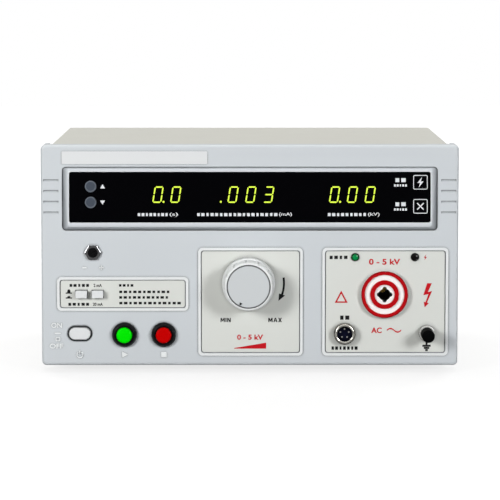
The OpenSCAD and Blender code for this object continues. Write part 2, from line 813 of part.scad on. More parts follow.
// Display
module display_surround() color("lightgray") difference() {
  union() {
    hull() {
      on_front(0, surround_z) translate([0, 0, -0.02]) linear_extrude(0.02) rrect(surround_w, surround_h, 2.5);
      on_display(0, -face_low, -0.02) linear_extrude(0.02) rrect(surround_face_w, surround_face_h, 2.5);
    }
    on_front(0, surround_z) translate([0, 0, -face_t - 2.5]) linear_extrude(face_t + 2.5)
      rrect(surround_w, surround_h, 2.5);
    on_front(0, surround_z) translate([0, 0, -face_t - 2.5]) linear_extrude(2.5)
      rrect(surround_w + 2 * surround_lap, surround_h + 2 * surround_lap, 3);
    for (x = [-boss_x, boss_x], v = [-boss_v, boss_v]) on_display(x, v) rod(3, board_front, -face_t - 2);
  }
  on_display(0, 0, window_back) linear_extrude(through)
    rrect(window_w + 2 * fit_gap, window_h + 2 * fit_gap, 1.6);
  on_display(0, 0, -through) linear_extrude(2 * through) rrect(window_w - 2 * window_ledge, window_h - 2 * window_ledge, 1.6);
  for (x = [-boss_x, boss_x], v = [-boss_v, boss_v]) on_display(x, v) rod(hole_r, board_front - 1, board_front + screw_l);
}

module display_window() color("black") on_display(0, 0, window_back) linear_extrude(window_t) difference() {
  rrect(window_w, window_h, 1.5);
  for (v = [time_high, -time_low]) translate([time_x, v]) circle(time_r + fit_gap);
}

module display_board() color("darkgreen") on_display(0, 0, board_front - board_t) linear_extrude(board_t) difference() {
  rrect(disp_board_w, disp_board_h, 1.5);
  for (x = [-boss_x, boss_x], v = [-boss_v, boss_v]) translate([x, v]) circle(hole_r);
}

module digit_blocks() color("dimgray") {
  for (i = [-1, 0, 1]) on_display(timer_x + i * digit_pitch, digit_up) block(digit_w, digit_h, board_front, digit_front);
  for (i = [-1.5 : 1 : 1.5]) on_display(current_x + i * digit_pitch, digit_up)
    block(digit_w, digit_h, board_front, digit_front);
  for (i = [-1, 0, 1]) on_display(voltage_x + i * digit_pitch, digit_up) block(digit_w, digit_h, board_front, digit_front);
}

module square_lamps() color("dimgray") for (v = [lamp_high, -lamp_low]) on_display(lamp_x, v)
  block(lamp_w, lamp_w, board_front, digit_front);

module tact_switches() color("black") for (v = [time_high, -time_low]) on_display(time_x, v) difference() {
  block(7.4, 7.4, board_front, board_front + 4.6);
  rod(1.5 + run_gap, board_front + 1, board_front + 6);
}

module time_button(v) {
  on_display(time_x, v) {
    rod(1.5, board_front + 1.2 + time_travel, window_back - 1.2);
    rod(time_r + 0.9, window_back - fit_gap - 1.2, window_back - fit_gap);
    rotate_extrude() polygon([[0, window_back - 1], [time_r, window_back - 1], [time_r, time_out - window_sink - 0.4],
      [time_r - 0.6, time_out - window_sink], [0, time_out - window_sink]]);
  }
}

module up_button() color("slategray") time_button(time_high);

module down_button() color("slategray") time_button(-time_low);

// Preset control
module preset_pot() color("dimgray") on_front(preset_x, bezel_lift + preset_up) {
  difference() {
    union() {
      rod(preset_bush_r, -face_t - 1, preset_out);
      rod(preset_body_r, -face_t - preset_body_d, -face_t);
      for (x = [-4, 0, 4]) translate([x - 0.6, -preset_body_r - 4, -face_t - 5]) cube([1.2, 8, 0.6]);
    }
    rod(preset_shaft_r + run_gap, -face_t - 6, preset_out + 1);
  }
}

module preset_nut() color("silver") on_front(preset_x, bezel_lift + preset_up)
  hex_nut(preset_nut_af, preset_bush_r + run_gap, preset_nut_t);

module preset_shaft() color("gray") on_front(preset_x, bezel_lift + preset_up) difference() {
  rod(preset_shaft_r, -face_t - 5.7, preset_out + 0.5);
  rotate(35) block(3 * preset_shaft_r, 0.9, preset_out - 0.6, preset_out + 2);
}

// Latching buttons
module latching_switches() color("black") for (x = [mode_button_x, range_button_x])
  on_front(x, bezel_lift + latch_up) difference() {
    block(latch_w + 2.6, latch_h + 3.2, -face_t - latch_d, -face_t);
    block(latch_w + 2 * latch_gap, latch_h + 2 * latch_gap, -face_t - latch_pocket, 1);
    rod(1.6 + run_gap, -face_t - latch_pocket - 10, -face_t);
  }

module latch_button(x) {
  on_front(x, bezel_lift + latch_up) {
    translate([0, 0, -face_t - 1]) linear_extrude(face_t + 1 + latch_out) rrect(latch_w, latch_h, 0.7);
    rod(1.6, -face_t - latch_pocket - 6, -face_t - 0.5);
  }
}

module mode_button() color("lightgray") latch_button(mode_button_x);

module range_button() color("lightgray") latch_button(range_button_x);

// Power button
module power_switch() color("black") on_front(power_x, bezel_lift + power_up) difference() {
  block(power_open_w + 4, power_open_h + 4, -face_t - power_d, -face_t);
  translate([0, 0, -face_t - power_pocket]) linear_extrude(through) stadium(power_open_w, power_open_h);
  rod(3 + run_gap, -face_t - power_pocket - 14, 1);
}

module power_button() color("lightgray") on_front(power_x, bezel_lift + power_up) {
  translate([0, 0, -face_t - 4]) linear_extrude(face_t + 4 + power_out) stadium(power_w, power_h);
  rod(3, -face_t - power_pocket - 12, -face_t - 3);
}

// Start and stop buttons
module button_ring(x) {
  on_front(x, bezel_lift + start_up) difference() {
    rotate_extrude() polygon([[0, -face_t - barrel_d], [barrel_r, -face_t - barrel_d], [barrel_r, 0], [ring_r, 0],
      [ring_r, ring_out * 0.5], [ring_r - 1.6, ring_out], [0, ring_out]]);
    rod(cap_r + fit_gap, barrel_floor, ring_out + 1);
    rod(2.5 + run_gap, barrel_floor - 12, ring_out);
  }
}

module start_ring() color("black") button_ring(start_x);

module stop_ring() color("black") button_ring(stop_x);

module panel_nuts() color("silver") {
  for (x = [start_x, stop_x]) on_front(x, bezel_lift + start_up, -face_t - ring_nut_t)
    hex_nut(ring_nut_af, barrel_r + run_gap, ring_nut_t);
  on_front(control_x, bezel_lift + control_up, -face_t - control_nut_t)
    hex_nut(control_nut_af, control_thread_r + run_gap, control_nut_t);
  on_front(ground_x, bezel_lift + ground_up, -face_t - stud_nut_t) hex_nut(stud_nut_af, stud_r + run_gap, stud_nut_t);
}

module button_cap(x) {
  on_front(x, bezel_lift + start_up) {
    rotate_extrude() polygon([[0, barrel_floor + cap_travel + 0.5], [cap_r, barrel_floor + cap_travel + 0.5],
      [cap_r, ring_out + cap_out - 0.8], [cap_r - 0.9, ring_out + cap_out], [0, ring_out + cap_out]]);
    rod(2.5, barrel_floor - 8, 0);
  }
}

module start_cap() color("lime") button_cap(start_x);

module stop_cap() color("red") button_cap(stop_x);

// Knob and variable transformer
module voltage_knob() color("whitesmoke") on_front(knob_x, knob_z, label_t + knob_gap) difference() {
  rotate_extrude() polygon([[0, 0], [knob_r, 0], [knob_r - 0.3, skirt_h - 0.5], [knob_r - 0.8, skirt_h],
    [grip_r, skirt_h + 0.2], [knob_front_r, knob_h - 1], [knob_front_r - 0.4, knob_h - 0.3], [knob_front_r - 1.1, knob_h],
    [0, knob_h]]);
  rod(disc_r + disc_gap, knob_h - disc_t, knob_h + 1);
  difference() {
    rod(knob_front_r - 3.2, -1, knob_h - disc_t - 3);
    rod(shaft_r + 4.5, -2, knob_h);
  }
  rod(shaft_r + run_gap, -1, knob_h - disc_t - 2.5);
  for (i = [0 : notch_n - 1]) rotate(knob_rest + i * 360 / notch_n)
    translate([(grip_r + knob_front_r) / 2 + notch_r * 0.3, 0, skirt_h + 0.4]) cylinder(r = notch_r, h = knob_h);
}

module knob_disc() color("lightgray") on_front(knob_x, knob_z, label_t + knob_gap) difference() {
  rod(disc_r, knob_h - disc_t, knob_h);
  rotate(knob_rest) translate([disc_r - 1.5, 0, knob_h - 0.7]) rotate(180) cylinder(r = 1.4, h = 2, $fn = 3);
}

module knob_shaft() color("silver") on_front(knob_x, knob_z)
  rod(shaft_r, -arm_y - arm_t - 4, label_t + knob_gap + knob_h - disc_t - 3);

module variac_stand() color("darkgray") {
  on_front(knob_x, knob_z, -coil_y) difference() {
    union() {
      linear_extrude(stand_t) {
        circle(stand_w / 2);
        translate([-stand_w / 2, tray_top - knob_z]) square([stand_w, knob_z - tray_top]);
      }
      rod(coil_in_r - fit_gap, -spigot_d, 0.5);
      translate([-stand_w / 2, tray_top - knob_z, -stand_foot]) cube([stand_w, stand_t, stand_foot + 1]);
    }
    rod(shaft_r + run_gap, -spigot_d - 1, stand_t + 1);
    for (x = [-stand_w / 3, stand_w / 3]) translate([x, tray_top - knob_z - 1, -18]) rotate([-90, 0, 0]) cylinder(r = hole_r, h = 7);
  }
}

module variac_coil() color("saddlebrown") on_front(knob_x, knob_z, -coil_y - coil_d) difference() {
  rotate_extrude() polygon([[coil_in_r, 3], [coil_in_r + 3, 0], [coil_r - 3, 0], [coil_r, 3], [coil_r, coil_d - 3],
    [coil_r - 3, coil_d], [coil_in_r + 3, coil_d], [coil_in_r, coil_d - 3]]);
}

module brush_arm() color("goldenrod") on_front(knob_x, knob_z, -arm_y - arm_t) difference() {
  union() {
    rod(hub_r, 0, arm_t + hub_rise);
    rotate(knob_rest) translate([0, -arm_w / 2, 0]) cube([brush_at + arm_over, arm_w, arm_t]);
  }
  rod(shaft_r + run_gap, -1, arm_t + 5);
}

module carbon_brush() color("black") on_front(knob_x, knob_z, -arm_y) rotate(knob_rest) translate([brush_at - 4, -3.5, 0])
  cube([8, 7, arm_y - coil_y - coil_d - fit_gap]);

// High-voltage socket
module hv_socket() color("white") on_front(hv_x, bezel_lift + hv_up) difference() {
  rotate_extrude() polygon([[0, -hv_barrel_d], [hv_barrel_r, -hv_barrel_d], [hv_barrel_r, label_t], [hv_r, label_t],
    [hv_r, label_t + hv_t - 0.9], [hv_ring_in - 0.1, label_t + hv_t - 0.9], [hv_ring_in - 0.1, label_t + hv_t],
    [hv_hub_r + 0.1, label_t + hv_t], [hv_hub_r + 0.1, label_t + hv_t - 0.9], [hv_hub_in - 0.1, label_t + hv_t - 0.9],
    [hv_hub_in - 0.1, label_t + hv_t], [0, label_t + hv_t]]);
  rod(hv_bore_r, -hv_bore_d, label_t + hv_t + 1);
  for (a = [0 : 90 : 270]) rotate(a) translate([hv_key_at, 0, 0])
    rod(hv_key_r, label_t + hv_t - hv_key_d, label_t + hv_t + 1);
  rod(hv_contact_r + run_gap, -hv_barrel_d - 1, 0);
}

module hv_rings() color("red") on_front(hv_x, bezel_lift + hv_up) {
  pipe(hv_r, hv_ring_in, label_t + hv_t - 0.9, label_t + hv_t + hv_ring_h);
  pipe(hv_hub_r, hv_hub_in, label_t + hv_t - 0.9, label_t + hv_t + hv_ring_h);
}

module hv_contact() color("gold") on_front(hv_x, bezel_lift + hv_up) rod(hv_contact_r, -hv_barrel_d - 9, -hv_bore_d);

module hv_nut() color("ivory") on_front(hv_x, bezel_lift + hv_up, -face_t - hv_nut_t)
  hex_nut(hv_nut_af, hv_barrel_r + run_gap, hv_nut_t);

module round_lamp(x) {
  on_front(x, bezel_lift + led_up) rotate_extrude() polygon([[0, -face_t - 6], [led_r, -face_t - 6], [led_r, -face_t - 1.2],
    [led_r + 0.9, -face_t - 1.2], [led_r + 0.9, -face_t], [led_r, -face_t], [led_r, led_out], [led_r * 0.92, led_out + 0.6],
    [led_r * 0.7, led_out + 1.15], [led_r * 0.38, led_out + 1.5], [0, led_out + 1.6]]);
}

module ready_lamp() color("seagreen") round_lamp(led_left);

module warning_lamp() color("maroon") round_lamp(led_right);

// Control socket
module control_shell() color("silver") on_front(control_x, bezel_lift + control_up) difference() {
  rotate_extrude() polygon([[0, -face_t - 10], [control_thread_r, -face_t - 10], [control_thread_r, label_t],
    [control_r, label_t], [control_r, control_out - 0.6], [control_r - 0.6, control_out], [0, control_out]]);
  rod(control_in_r, -face_t - 9, control_out + 1);
  rod(control_in_r - 1.2, -face_t - 11, 0);
}

module control_insert_block() color("midnightblue") on_front(control_x, bezel_lift + control_up) difference() {
  rod(control_in_r - run_gap, -face_t - 9, control_insert);
  for (i = [0 : pin_n - 1]) rotate(90 + i * 360 / pin_n) translate([pin_at, 0, 0]) rod(pin_r + run_gap, -face_t - 12, 2);
}

module control_pins() color("gold") on_front(control_x, bezel_lift + control_up) for (i = [0 : pin_n - 1])
  rotate(90 + i * 360 / pin_n) translate([pin_at, 0, 0]) rod(pin_r, -face_t - 15, control_insert + pin_out);

// Ground post
module ground_post() color("silver") on_front(ground_x, bezel_lift + ground_up)
  rod(stud_r, -face_t - 3 * stud_nut_t, label_t + collar_t + stud_out);

module ground_collar() color("silver") on_front(ground_x, bezel_lift + ground_up) difference() {
  rotate_extrude() polygon([[0, label_t], [collar_r, label_t], [collar_r, label_t + collar_t - 0.6],
    [collar_r - 0.6, label_t + collar_t], [0, label_t + collar_t]]);
  rod(stud_r + run_gap, -1, collar_t + 2);
}

module clamp_washer() color("silver") on_front(ground_x, bezel_lift + ground_up, label_t + collar_t + 0.2)
  pipe(clamp_r, stud_r + fit_gap, 0, clamp_t);

module ground_cap() color("black") on_front(ground_x, bezel_lift + ground_up, label_t + collar_t + clamp_t + 0.4) difference() {
  rotate_extrude() polygon([[0, 0], [post_r, 0], [post_r, post_h - 3.2], [post_r * 0.94, post_h - 1.9],
    [post_r * 0.76, post_h - 0.8], [post_r * 0.42, post_h - 0.15], [0, post_h]]);
  rod(stud_r + run_gap, -1, stud_out + 0.6);
}

// Case
module base_tray() color("lightslategray") difference() {
  union() {
    translate([-inner_w / 2, front_y + tray_y0, tray_z]) cube([inner_w, tray_y1 - tray_y0, sheet_t]);
    for (s = [0, 1]) mirror([s, 0, 0]) translate([inner_w / 2 - sheet_t, front_y + tray_y0 + 14, tray_z])
      cube([sheet_t, tray_y1 - tray_y0 - 30, tray_lip_h]);
    translate([-inner_w / 2 + 2, front_y + tray_y0, tray_z]) cube([inner_w - 4, sheet_t, tray_front_h]);
    translate([-inner_w / 2 + 2, front_y + tray_y1 - sheet_t, tray_z]) cube([inner_w - 4, sheet_t, tray_rear_h]);
  }
  for (p = UNDER) translate([p[0], front_y + p[1], tray_z - 1]) cylinder(r = hole_r, h = sheet_t + 2);
  for (p = SIDES) translate([0, front_y + p[0], p[1]]) rotate([0, 90, 0]) cylinder(r = hole_r, h = bezel_w, center = true);
  for (x = bezel_boss) on_front(x, boss_z) rod(hole_r, -lip_d - 4, -lip_d);
  for (x = REAR) on_rear(x, tray_z + tray_rear_h * 0.6) rod(hole_r, -4, 1);
}

module top_cover() color("beige") difference() {
  translate([0, front_y + case_d, tray_z]) rotate([90, 0, 0]) linear_extrude(case_d - tray_y0) difference() {
    arch(case_w, cover_top - tray_z, cover_r);
    translate([0, -1]) arch(case_w - 2 * sheet_t, cover_top - tray_z - sheet_t + 1, cover_r - sheet_t * 0.6);
  }
  for (i = [0 : vent_n - 1]) translate([0, front_y + vent_y + (i - (vent_n - 1) / 2) * vent_pitch, vent_z])
    rotate([90, 0, 90]) linear_extrude(case_w + 4, center = true) rotate(90) stadium(vent_l, vent_w);
  for (p = concat(SIDES, BACKS)) translate([0, front_y + p[0], p[1]]) rotate([0, 90, 0])
    cylinder(r = hole_r, h = bezel_w, center = true);
}

module rear_panel() color("lightslategray") difference() {
  union() {
    translate([0, front_y + case_d, tray_z]) rotate([90, 0, 0]) linear_extrude(sheet_t) arch(inner_w, rear_h, cover_r);
    for (s = [0, 1]) mirror([s, 0, 0]) translate([inner_w / 2 - sheet_t, front_y + tray_y1 - rear_fold, tray_z + tray_lip_h + 3])
      cube([sheet_t, rear_fold + 0.1, rear_h - tray_lip_h - 28]);
    translate([-inner_w / 2 + 16, front_y + tray_y1 - rear_fold, cover_top - 2 * sheet_t - fit_gap])
      cube([inner_w - 32, rear_fold + 0.1, sheet_t]);
  }
  on_rear(inlet_x, inlet_z) block(housing_w + 2 * fit_gap, housing_h + 2 * fit_gap, -4, 4);
  for (s = [-1, 1]) on_rear(inlet_x + s * inlet_pitch / 2, inlet_z) rod(hole_r, -4, 1);
  for (x = REAR) on_rear(x, tray_z + tray_rear_h * 0.6) rod(hole_r, -4, 1);
  for (p = BACKS) translate([0, front_y + p[0], p[1]]) rotate([0, 90, 0]) cylinder(r = hole_r, h = bezel_w, center = true);
  for (i = [0 : rear_vent_n - 1]) on_rear(rear_vent_x + (i - (rear_vent_n - 1) / 2) * vent_pitch, rear_vent_z)
    translate([0, 0, -4]) linear_extrude(8) rotate(90) stadium(vent_l, vent_w);
}

FEET = [for (s = [-1, 1], y = [foot_front, case_d - foot_rear]) [s * foot_x, y]];
STANDS = [for (s = [-1, 1]) [knob_x + s * stand_w / 3, coil_y + 18]];
CORES = [for (s = [-1, 1], t = [-1, 1]) [core_x + s * core_w * 0.4, core_y + t * (core_t / 2 + core_foot / 2)]];
PILLARS = [for (s = [-1, 1], t = [-1, 1]) [main_x + s * (main_w / 2 - 5), main_y + t * (main_l / 2 - 5)]];
UNDER = concat(FEET, STANDS, CORES, PILLARS);
SIDES = [for (y = [side_screw_front, case_d - side_screw_rear]) [y, tray_z + tray_lip_h * 0.6]];
BACKS = [for (z = [tray_z + fold_screw_low, cover_top - fold_screw_high]) [case_d - sheet_t - rear_fold / 2, z]];
REAR = [for (s = [-1, 0, 1]) s * (inner_w / 2 - rear_screw_side)];

module rubber_feet() color("black") for (p = FEET) translate([p[0], front_y + p[1], 0]) difference() {
  cylinder(r1 = foot_low_r, r2 = foot_r, h = foot_h);
  translate([0, 0, -1]) cylinder(r = screw_head_r + 1.4, h = foot_h - 2);
  translate([0, 0, -1]) cylinder(r = hole_r, h = foot_h + 2);
}

module case_screws() color("silver") {
  for (p = FEET) translate([p[0], front_y + p[1], foot_h - 3]) rotate([180, 0, 0]) pan_screw();
  for (p = concat(STANDS, CORES, PILLARS)) translate([p[0], front_y + p[1], tray_z]) rotate([180, 0, 0]) pan_screw();
  for (p = PILLARS) translate([p[0], front_y + p[1], main_z + board_t]) pan_screw();
  for (s = [-1, 1], p = concat(SIDES, BACKS)) translate([s * case_w / 2, front_y + p[0], p[1]]) rotate([0, s * 90, 0]) pan_screw();
  for (x = REAR) on_rear(x, tray_z + tray_rear_h * 0.6) pan_screw();
  for (s = [-1, 1]) on_rear(inlet_x + s * inlet_pitch / 2, inlet_z, inlet_t) pan_screw();
  for (x = bezel_boss) on_front(x, boss_z, -lip_d - fit_gap - sheet_t) rotate([180, 0, 0]) pan_screw();
  for (x = [-boss_x, boss_x], v = [-boss_v, boss_v]) on_display(x, v, board_front - board_t) rotate([180, 0, 0]) pan_screw();
}

// Mains inlet and fuse
module plug_cavity() {
  translate([0, cavity_up]) polygon([[-cavity_w / 2, -cavity_h / 2], [cavity_w / 2, -cavity_h / 2], [cavity_w / 2, cavity_h / 2 - 4],
    [cavity_w / 2 - 4, cavity_h / 2], [-cavity_w / 2 + 4, cavity_h / 2], [-cavity_w / 2, cavity_h / 2 - 4]]);
}

BLADES = [[-7, -2], [7, -2], [0, 2]];

module mains_inlet() color("black") on_rear(inlet_x, inlet_z) difference() {
  union() {
    linear_extrude(inlet_t) rrect(inlet_w, inlet_h, 4);
    block(housing_w, housing_h, -inlet_d, 0.5);
  }
  translate([0, 0, -cavity_d]) linear_extrude(cavity_d + inlet_t + 1) plug_cavity();
  translate([0, -drawer_down, 0]) block(drawer_w + 2 * fit_gap, drawer_h + 2 * fit_gap, -inlet_d + 1.5, inlet_t + 1);
  for (b = BLADES) translate([b[0], cavity_up + b[1], 0]) block(2 + 2 * run_gap, 4 + 2 * run_gap, -inlet_d - 1, 0);
  for (s = [-1, 1]) translate([s * inlet_pitch / 2, 0, 0]) rod(hole_r, -1, inlet_t + 1);
}

module inlet_pins() color("silver") for (b = BLADES) on_rear(inlet_x, inlet_z) translate([b[0], cavity_up + b[1], 0])
  block(2, 4, -inlet_d - 8, -inlet_tip);

module fuse_drawer() color("black") on_rear(inlet_x, inlet_z) translate([0, -drawer_down, 0]) difference() {
  union() {
    block(drawer_w, drawer_h, -inlet_d + 2, inlet_t + 0.5);
    block(drawer_w + 1.6, drawer_h + 1.2, inlet_t + 0.2, inlet_t + 1.8);
  }
  translate([-fuse_r - 0.2, -fuse_r - 0.1, -fuse_l - 1.2]) cube([2 * fuse_r + 0.4, drawer_h, fuse_l + 0.6]);
}

module fuse() color("lightblue") on_rear(inlet_x, inlet_z) translate([0, -drawer_down, 0]) rod(fuse_r, -fuse_l - 0.9, -0.9);

// Parts inside
module core_stack() color("dimgray") translate([core_x, front_y + core_y, tray_top]) difference() {
  union() {
    translate([-core_w / 2, -core_t / 2, 0]) cube([core_w, core_t, core_h]);
    translate([-core_w / 2, -core_t / 2 - core_foot, 0]) cube([core_w, core_t + 2 * core_foot, 3]);
  }
  for (s = [-1, 1]) translate([s * core_leg * 0.75 - core_leg / 4, -core_t, core_leg / 2]) cube([core_leg / 2, 2 * core_t, core_win_h]);
  for (s = [-1, 1], t = [-1, 1]) translate([s * core_w * 0.4, t * (core_t / 2 + core_foot / 2), -1]) cylinder(r = hole_r, h = 6);
}

module core_coil() color("khaki") translate([core_x, front_y + core_y, tray_top + core_leg / 2 + fit_gap]) difference() {
  linear_extrude(core_win_h - 2 * fit_gap) difference() {
    rrect(2 * core_leg - 2 * fit_gap, core_t + 2 * core_over, 6);
    square([core_leg + 2 * fit_gap, core_t + 2 * fit_gap], center = true);
  }
}

module main_board() color("darkgreen") {
  translate([main_x, front_y + main_y, main_z]) linear_extrude(board_t) difference() {
    square([main_w, main_l], center = true);
    for (p = PILLARS) translate([p[0] - main_x, p[1] - main_y]) circle(hole_r);
  }
}

module board_parts() color("gray") {
  for (p = PILLARS) translate([p[0], front_y + p[1], tray_top]) pipe(3, hole_r, 0, pillar_h);
  translate([main_x, front_y + main_y, main_z + board_t]) {
    for (i = [0 : 2]) translate([part_side - main_w / 2 + relay_pitch * i, relay_back, 0]) cube([relay_w, relay_l, relay_h]);
    for (i = [0 : 2]) translate([part_side + can_r - main_w / 2 + can_pitch * i, can_back, 0]) cylinder(r = can_r, h = can_h);
    translate([10 - main_w / 2, -30, 0]) cube([supply_w, supply_l, supply_h]);
    translate([main_w / 2 - 8 - sink_w, -34, 0]) difference() {
      cube([sink_w, sink_l, sink_h]);
      for (i = [0 : 3]) translate([-1, 3.5 + 9.2 * i, 5]) cube([sink_w + 2, 5.4, sink_h]);
    }
    for (i = [0 : 2]) translate([12 - main_w / 2 + 24 * i, 26 - main_l / 2, 0]) cube([19, 7, 4]);
    for (i = [0 : 1]) translate([16 - main_w / 2 + 36 * i, 12 - main_l / 2, 0]) cube([24, 8, 9]);
  }
}

front_bezel();
display_surround();
display_window();
display_board();
digit_blocks();
square_lamps();
tact_switches();
up_button();
down_button();
name_plate();
mode_label();
adjust_label();
output_label();
preset_pot();
preset_nut();
preset_shaft();
latching_switches();
mode_button();
range_button();
power_switch();
power_button();
start_ring();
stop_ring();
panel_nuts();
start_cap();
stop_cap();
voltage_knob();
knob_disc();
knob_shaft();
brush_arm();
carbon_brush();
variac_stand();
variac_coil();
hv_socket();
hv_rings();
hv_contact();
hv_nut();
ready_lamp();
warning_lamp();
control_shell();
control_insert_block();
control_pins();
ground_post();
ground_collar();
clamp_washer();
ground_cap();
base_tray();
top_cover();
rear_panel();
rubber_feet();
case_screws();
mains_inlet();
inlet_pins();
fuse_drawer();
fuse();
core_stack();
core_coil();
main_board();
board_parts();
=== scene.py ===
import json
import math

import bpy
from mathutils import Matrix, Vector


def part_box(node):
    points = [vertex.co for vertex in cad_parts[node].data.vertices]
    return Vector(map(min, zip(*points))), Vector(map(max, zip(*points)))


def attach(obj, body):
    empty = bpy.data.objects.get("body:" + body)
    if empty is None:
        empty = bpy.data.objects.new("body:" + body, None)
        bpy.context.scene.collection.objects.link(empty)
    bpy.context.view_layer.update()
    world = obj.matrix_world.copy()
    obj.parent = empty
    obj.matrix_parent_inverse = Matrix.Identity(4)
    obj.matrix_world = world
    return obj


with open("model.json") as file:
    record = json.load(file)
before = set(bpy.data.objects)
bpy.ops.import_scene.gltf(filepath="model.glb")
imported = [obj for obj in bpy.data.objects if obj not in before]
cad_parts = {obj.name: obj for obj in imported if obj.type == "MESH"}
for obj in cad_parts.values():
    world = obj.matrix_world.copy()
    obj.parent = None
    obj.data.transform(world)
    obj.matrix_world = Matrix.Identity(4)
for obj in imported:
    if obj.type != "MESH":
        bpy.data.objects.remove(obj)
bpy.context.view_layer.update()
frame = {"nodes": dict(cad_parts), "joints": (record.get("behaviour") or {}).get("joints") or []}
nodes = frame["nodes"]
joints = {joint["name"]: joint for joint in frame["joints"]}

MM = 0.001
BODY = "instrument"
KNOB_BODY = "voltage_control"


# Places taken from the frame
def corner(node, axis, end):
    """One coordinate of a node's box: end 0 is the lowest corner, 1 the highest."""
    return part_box(node)[end][axis]


def middle(node):
    """The middle of a node's box."""
    low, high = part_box(node)
    return (low + high) / 2


face_y = corner("mode_label", 1, 1)
label_y = corner("mode_label", 1, 0)
rear_y = corner("rear_panel", 1, 1)
UPRIGHT = Matrix(((1, 0, 0), (0, 0, -1), (0, 1, 0))).to_4x4()


def upright_at(x, y, z):
    """A place on an upright plane: local x is right, y is up and z comes out of the front."""
    return Matrix.Translation((x, y, z)) @ UPRIGHT


display_out = -Vector(joints["up_press"]["axis"]).normalized()
display_up = Vector((1, 0, 0)).cross(-display_out).normalized()
if display_up.z < 0:
    display_up.negate()
window_points = [v.co for v in nodes["display_window"].data.vertices]
window_front = max(p.dot(display_out) for p in window_points)
window_mid = middle("display_window")
window_mid += display_out * (window_front - window_mid.dot(display_out))
DISPLAY = Matrix.Translation(window_mid) @ Matrix(
    (Vector((1, 0, 0)), display_up, display_out)).transposed().to_4x4()
LABEL = upright_at(0, label_y, 0)
FACE = upright_at(0, face_y, 0)
knob_axis = Vector(joints["voltage_turn"]["pos_m"])
disc_front = corner("knob_disc", 1, 0)
DISC = upright_at(knob_axis.x, disc_front, knob_axis.z)


# Short calls for shader trees
class Tree:
    """A node tree with one call to add a node, set its values and join its inputs."""

    def __init__(self, tree):
        self.tree = tree

    def add(self, kind, inputs=None, **settings):
        node = self.tree.nodes.new("ShaderNode" + kind)
        for key, value in settings.items():
            setattr(node, key, value)
        for key, value in (inputs or {}).items():
            if isinstance(value, bpy.types.NodeSocket):
                self.tree.links.new(value, node.inputs[key])
            else:
                node.inputs[key].default_value = value
        return node

    def math(self, operation, first, second=0.0):
        return self.add("Math", {0: first, 1: second}, operation=operation).outputs[0]

    def spread(self, value, low, high, to_low, to_high):
        """Map a value from one range to another and keep it inside."""
        ends = {"Value": value, "From Min": low, "From Max": high, "To Min": to_low, "To Max": to_high}
        return self.add("MapRange", ends).outputs["Result"]

    def mix(self, share, first, second):
        """Mix two colours."""
        node = self.add("Mix", data_type="RGBA")
        for key, value in ((0, share), (6, first), (7, second)):
            if isinstance(value, bpy.types.NodeSocket):
                self.tree.links.new(value, node.inputs[key])
            else:
                node.inputs[key].default_value = value
        return node.outputs[2]

    def place(self):
        return self.add("TexCoord").outputs["Object"]

    def noise(self, vector, scale, detail=2.0, rough=0.5):
        ends = {"Vector": vector, "Scale": scale, "Detail": detail, "Roughness": rough}
        return self.add("TexNoise", ends).outputs["Fac"]


def srgb(red, green, blue):
    """A colour from 0 to 255 as it looks on screen, made linear."""
    linear = []
    for part in (red, green, blue):
        share = part / 255
        linear.append(share / 12.92 if share <= 0.04045 else ((share + 0.055) / 1.055) ** 2.4)
    return (*linear, 1.0)


def tinted(colour, factor):
    return (*(min(1.0, part * factor) for part in colour[:3]), 1.0)


# Effects that several finishes share
def new_group(name, inputs, outputs):
    tree = bpy.data.node_groups.new(name, "ShaderNodeTree")
    for label, value in inputs.items():
        socket = tree.interface.new_socket(label, in_out="INPUT", socket_type="NodeSocketFloat")
        socket.default_value = value
    for label in outputs:
        tree.interface.new_socket(label, in_out="OUTPUT", socket_type="NodeSocketFloat")
    made = Tree(tree)
    return made, (tree.nodes.new("NodeGroupInput"), tree.nodes.new("NodeGroupOutput"))


def make_grain_group():
    """Fine moulded grain as a height, and slow blotches as a tone from 0 to 1."""
    tree, (given, result) = new_group("moulded_grain", {"Grain Scale": 2600.0, "Tone Scale": 22.0},
                                      ("Height", "Tone", "Speckle"))
    place = tree.place()
    scale = given.outputs["Grain Scale"]
    cells = tree.add("TexVoronoi", {"Vector": place, "Scale": scale}, feature="SMOOTH_F1")
    grit = tree.noise(place, scale, 3.0, 0.6)
    height = tree.math("ADD", cells.outputs["Distance"], tree.math("MULTIPLY", grit, 0.6))
    tone = tree.noise(place, given.outputs["Tone Scale"], 4.0, 0.55)
    links = tree.tree.links
    links.new(height, result.inputs["Height"])
    links.new(tone, result.inputs["Tone"])
    links.new(grit, result.inputs["Speckle"])
    return tree.tree


def make_edge_group():
    """A mask of edge wear that also paints an edge highlight: where a rounded normal leaves the true one,
    broken up by noise.
    """
    tree, (given, result) = new_group("edge_wear_and_highlight", {"Radius": 0.0006, "Breakup": 240.0}, ("Mask",))
    rounded = tree.add("Bevel", {"Radius": given.outputs["Radius"]}, samples=4)
    true_normal = tree.add("NewGeometry").outputs["Normal"]
    facing = tree.add("VectorMath", {0: rounded.outputs["Normal"], 1: true_normal}, operation="DOT_PRODUCT")
    bent = tree.spread(facing.outputs["Value"], 0.99, 0.8, 0.0, 1.0)
    broken = tree.spread(tree.noise(tree.place(), given.outputs["Breakup"], 4.0, 0.6), 0.38, 0.62, 0.0, 1.0)
    tree.tree.links.new(tree.math("MULTIPLY", bent, broken), result.inputs["Mask"])
    return tree.tree


def make_dust_group():
    """A mask of dust that settles on faces that look up."""
    tree, (given, result) = new_group("settled_dust", {"Scale": 60.0}, ("Mask",))
    up = tree.add("SeparateXYZ", {0: tree.add("NewGeometry").outputs["Normal"]}).outputs["Z"]
    level = tree.spread(up, 0.35, 0.95, 0.0, 1.0)
    patches = tree.spread(tree.noise(tree.place(), given.outputs["Scale"], 5.0, 0.65), 0.4, 0.72, 0.0, 1.0)
    tree.tree.links.new(tree.math("MULTIPLY", level, patches), result.inputs["Mask"])
    return tree.tree


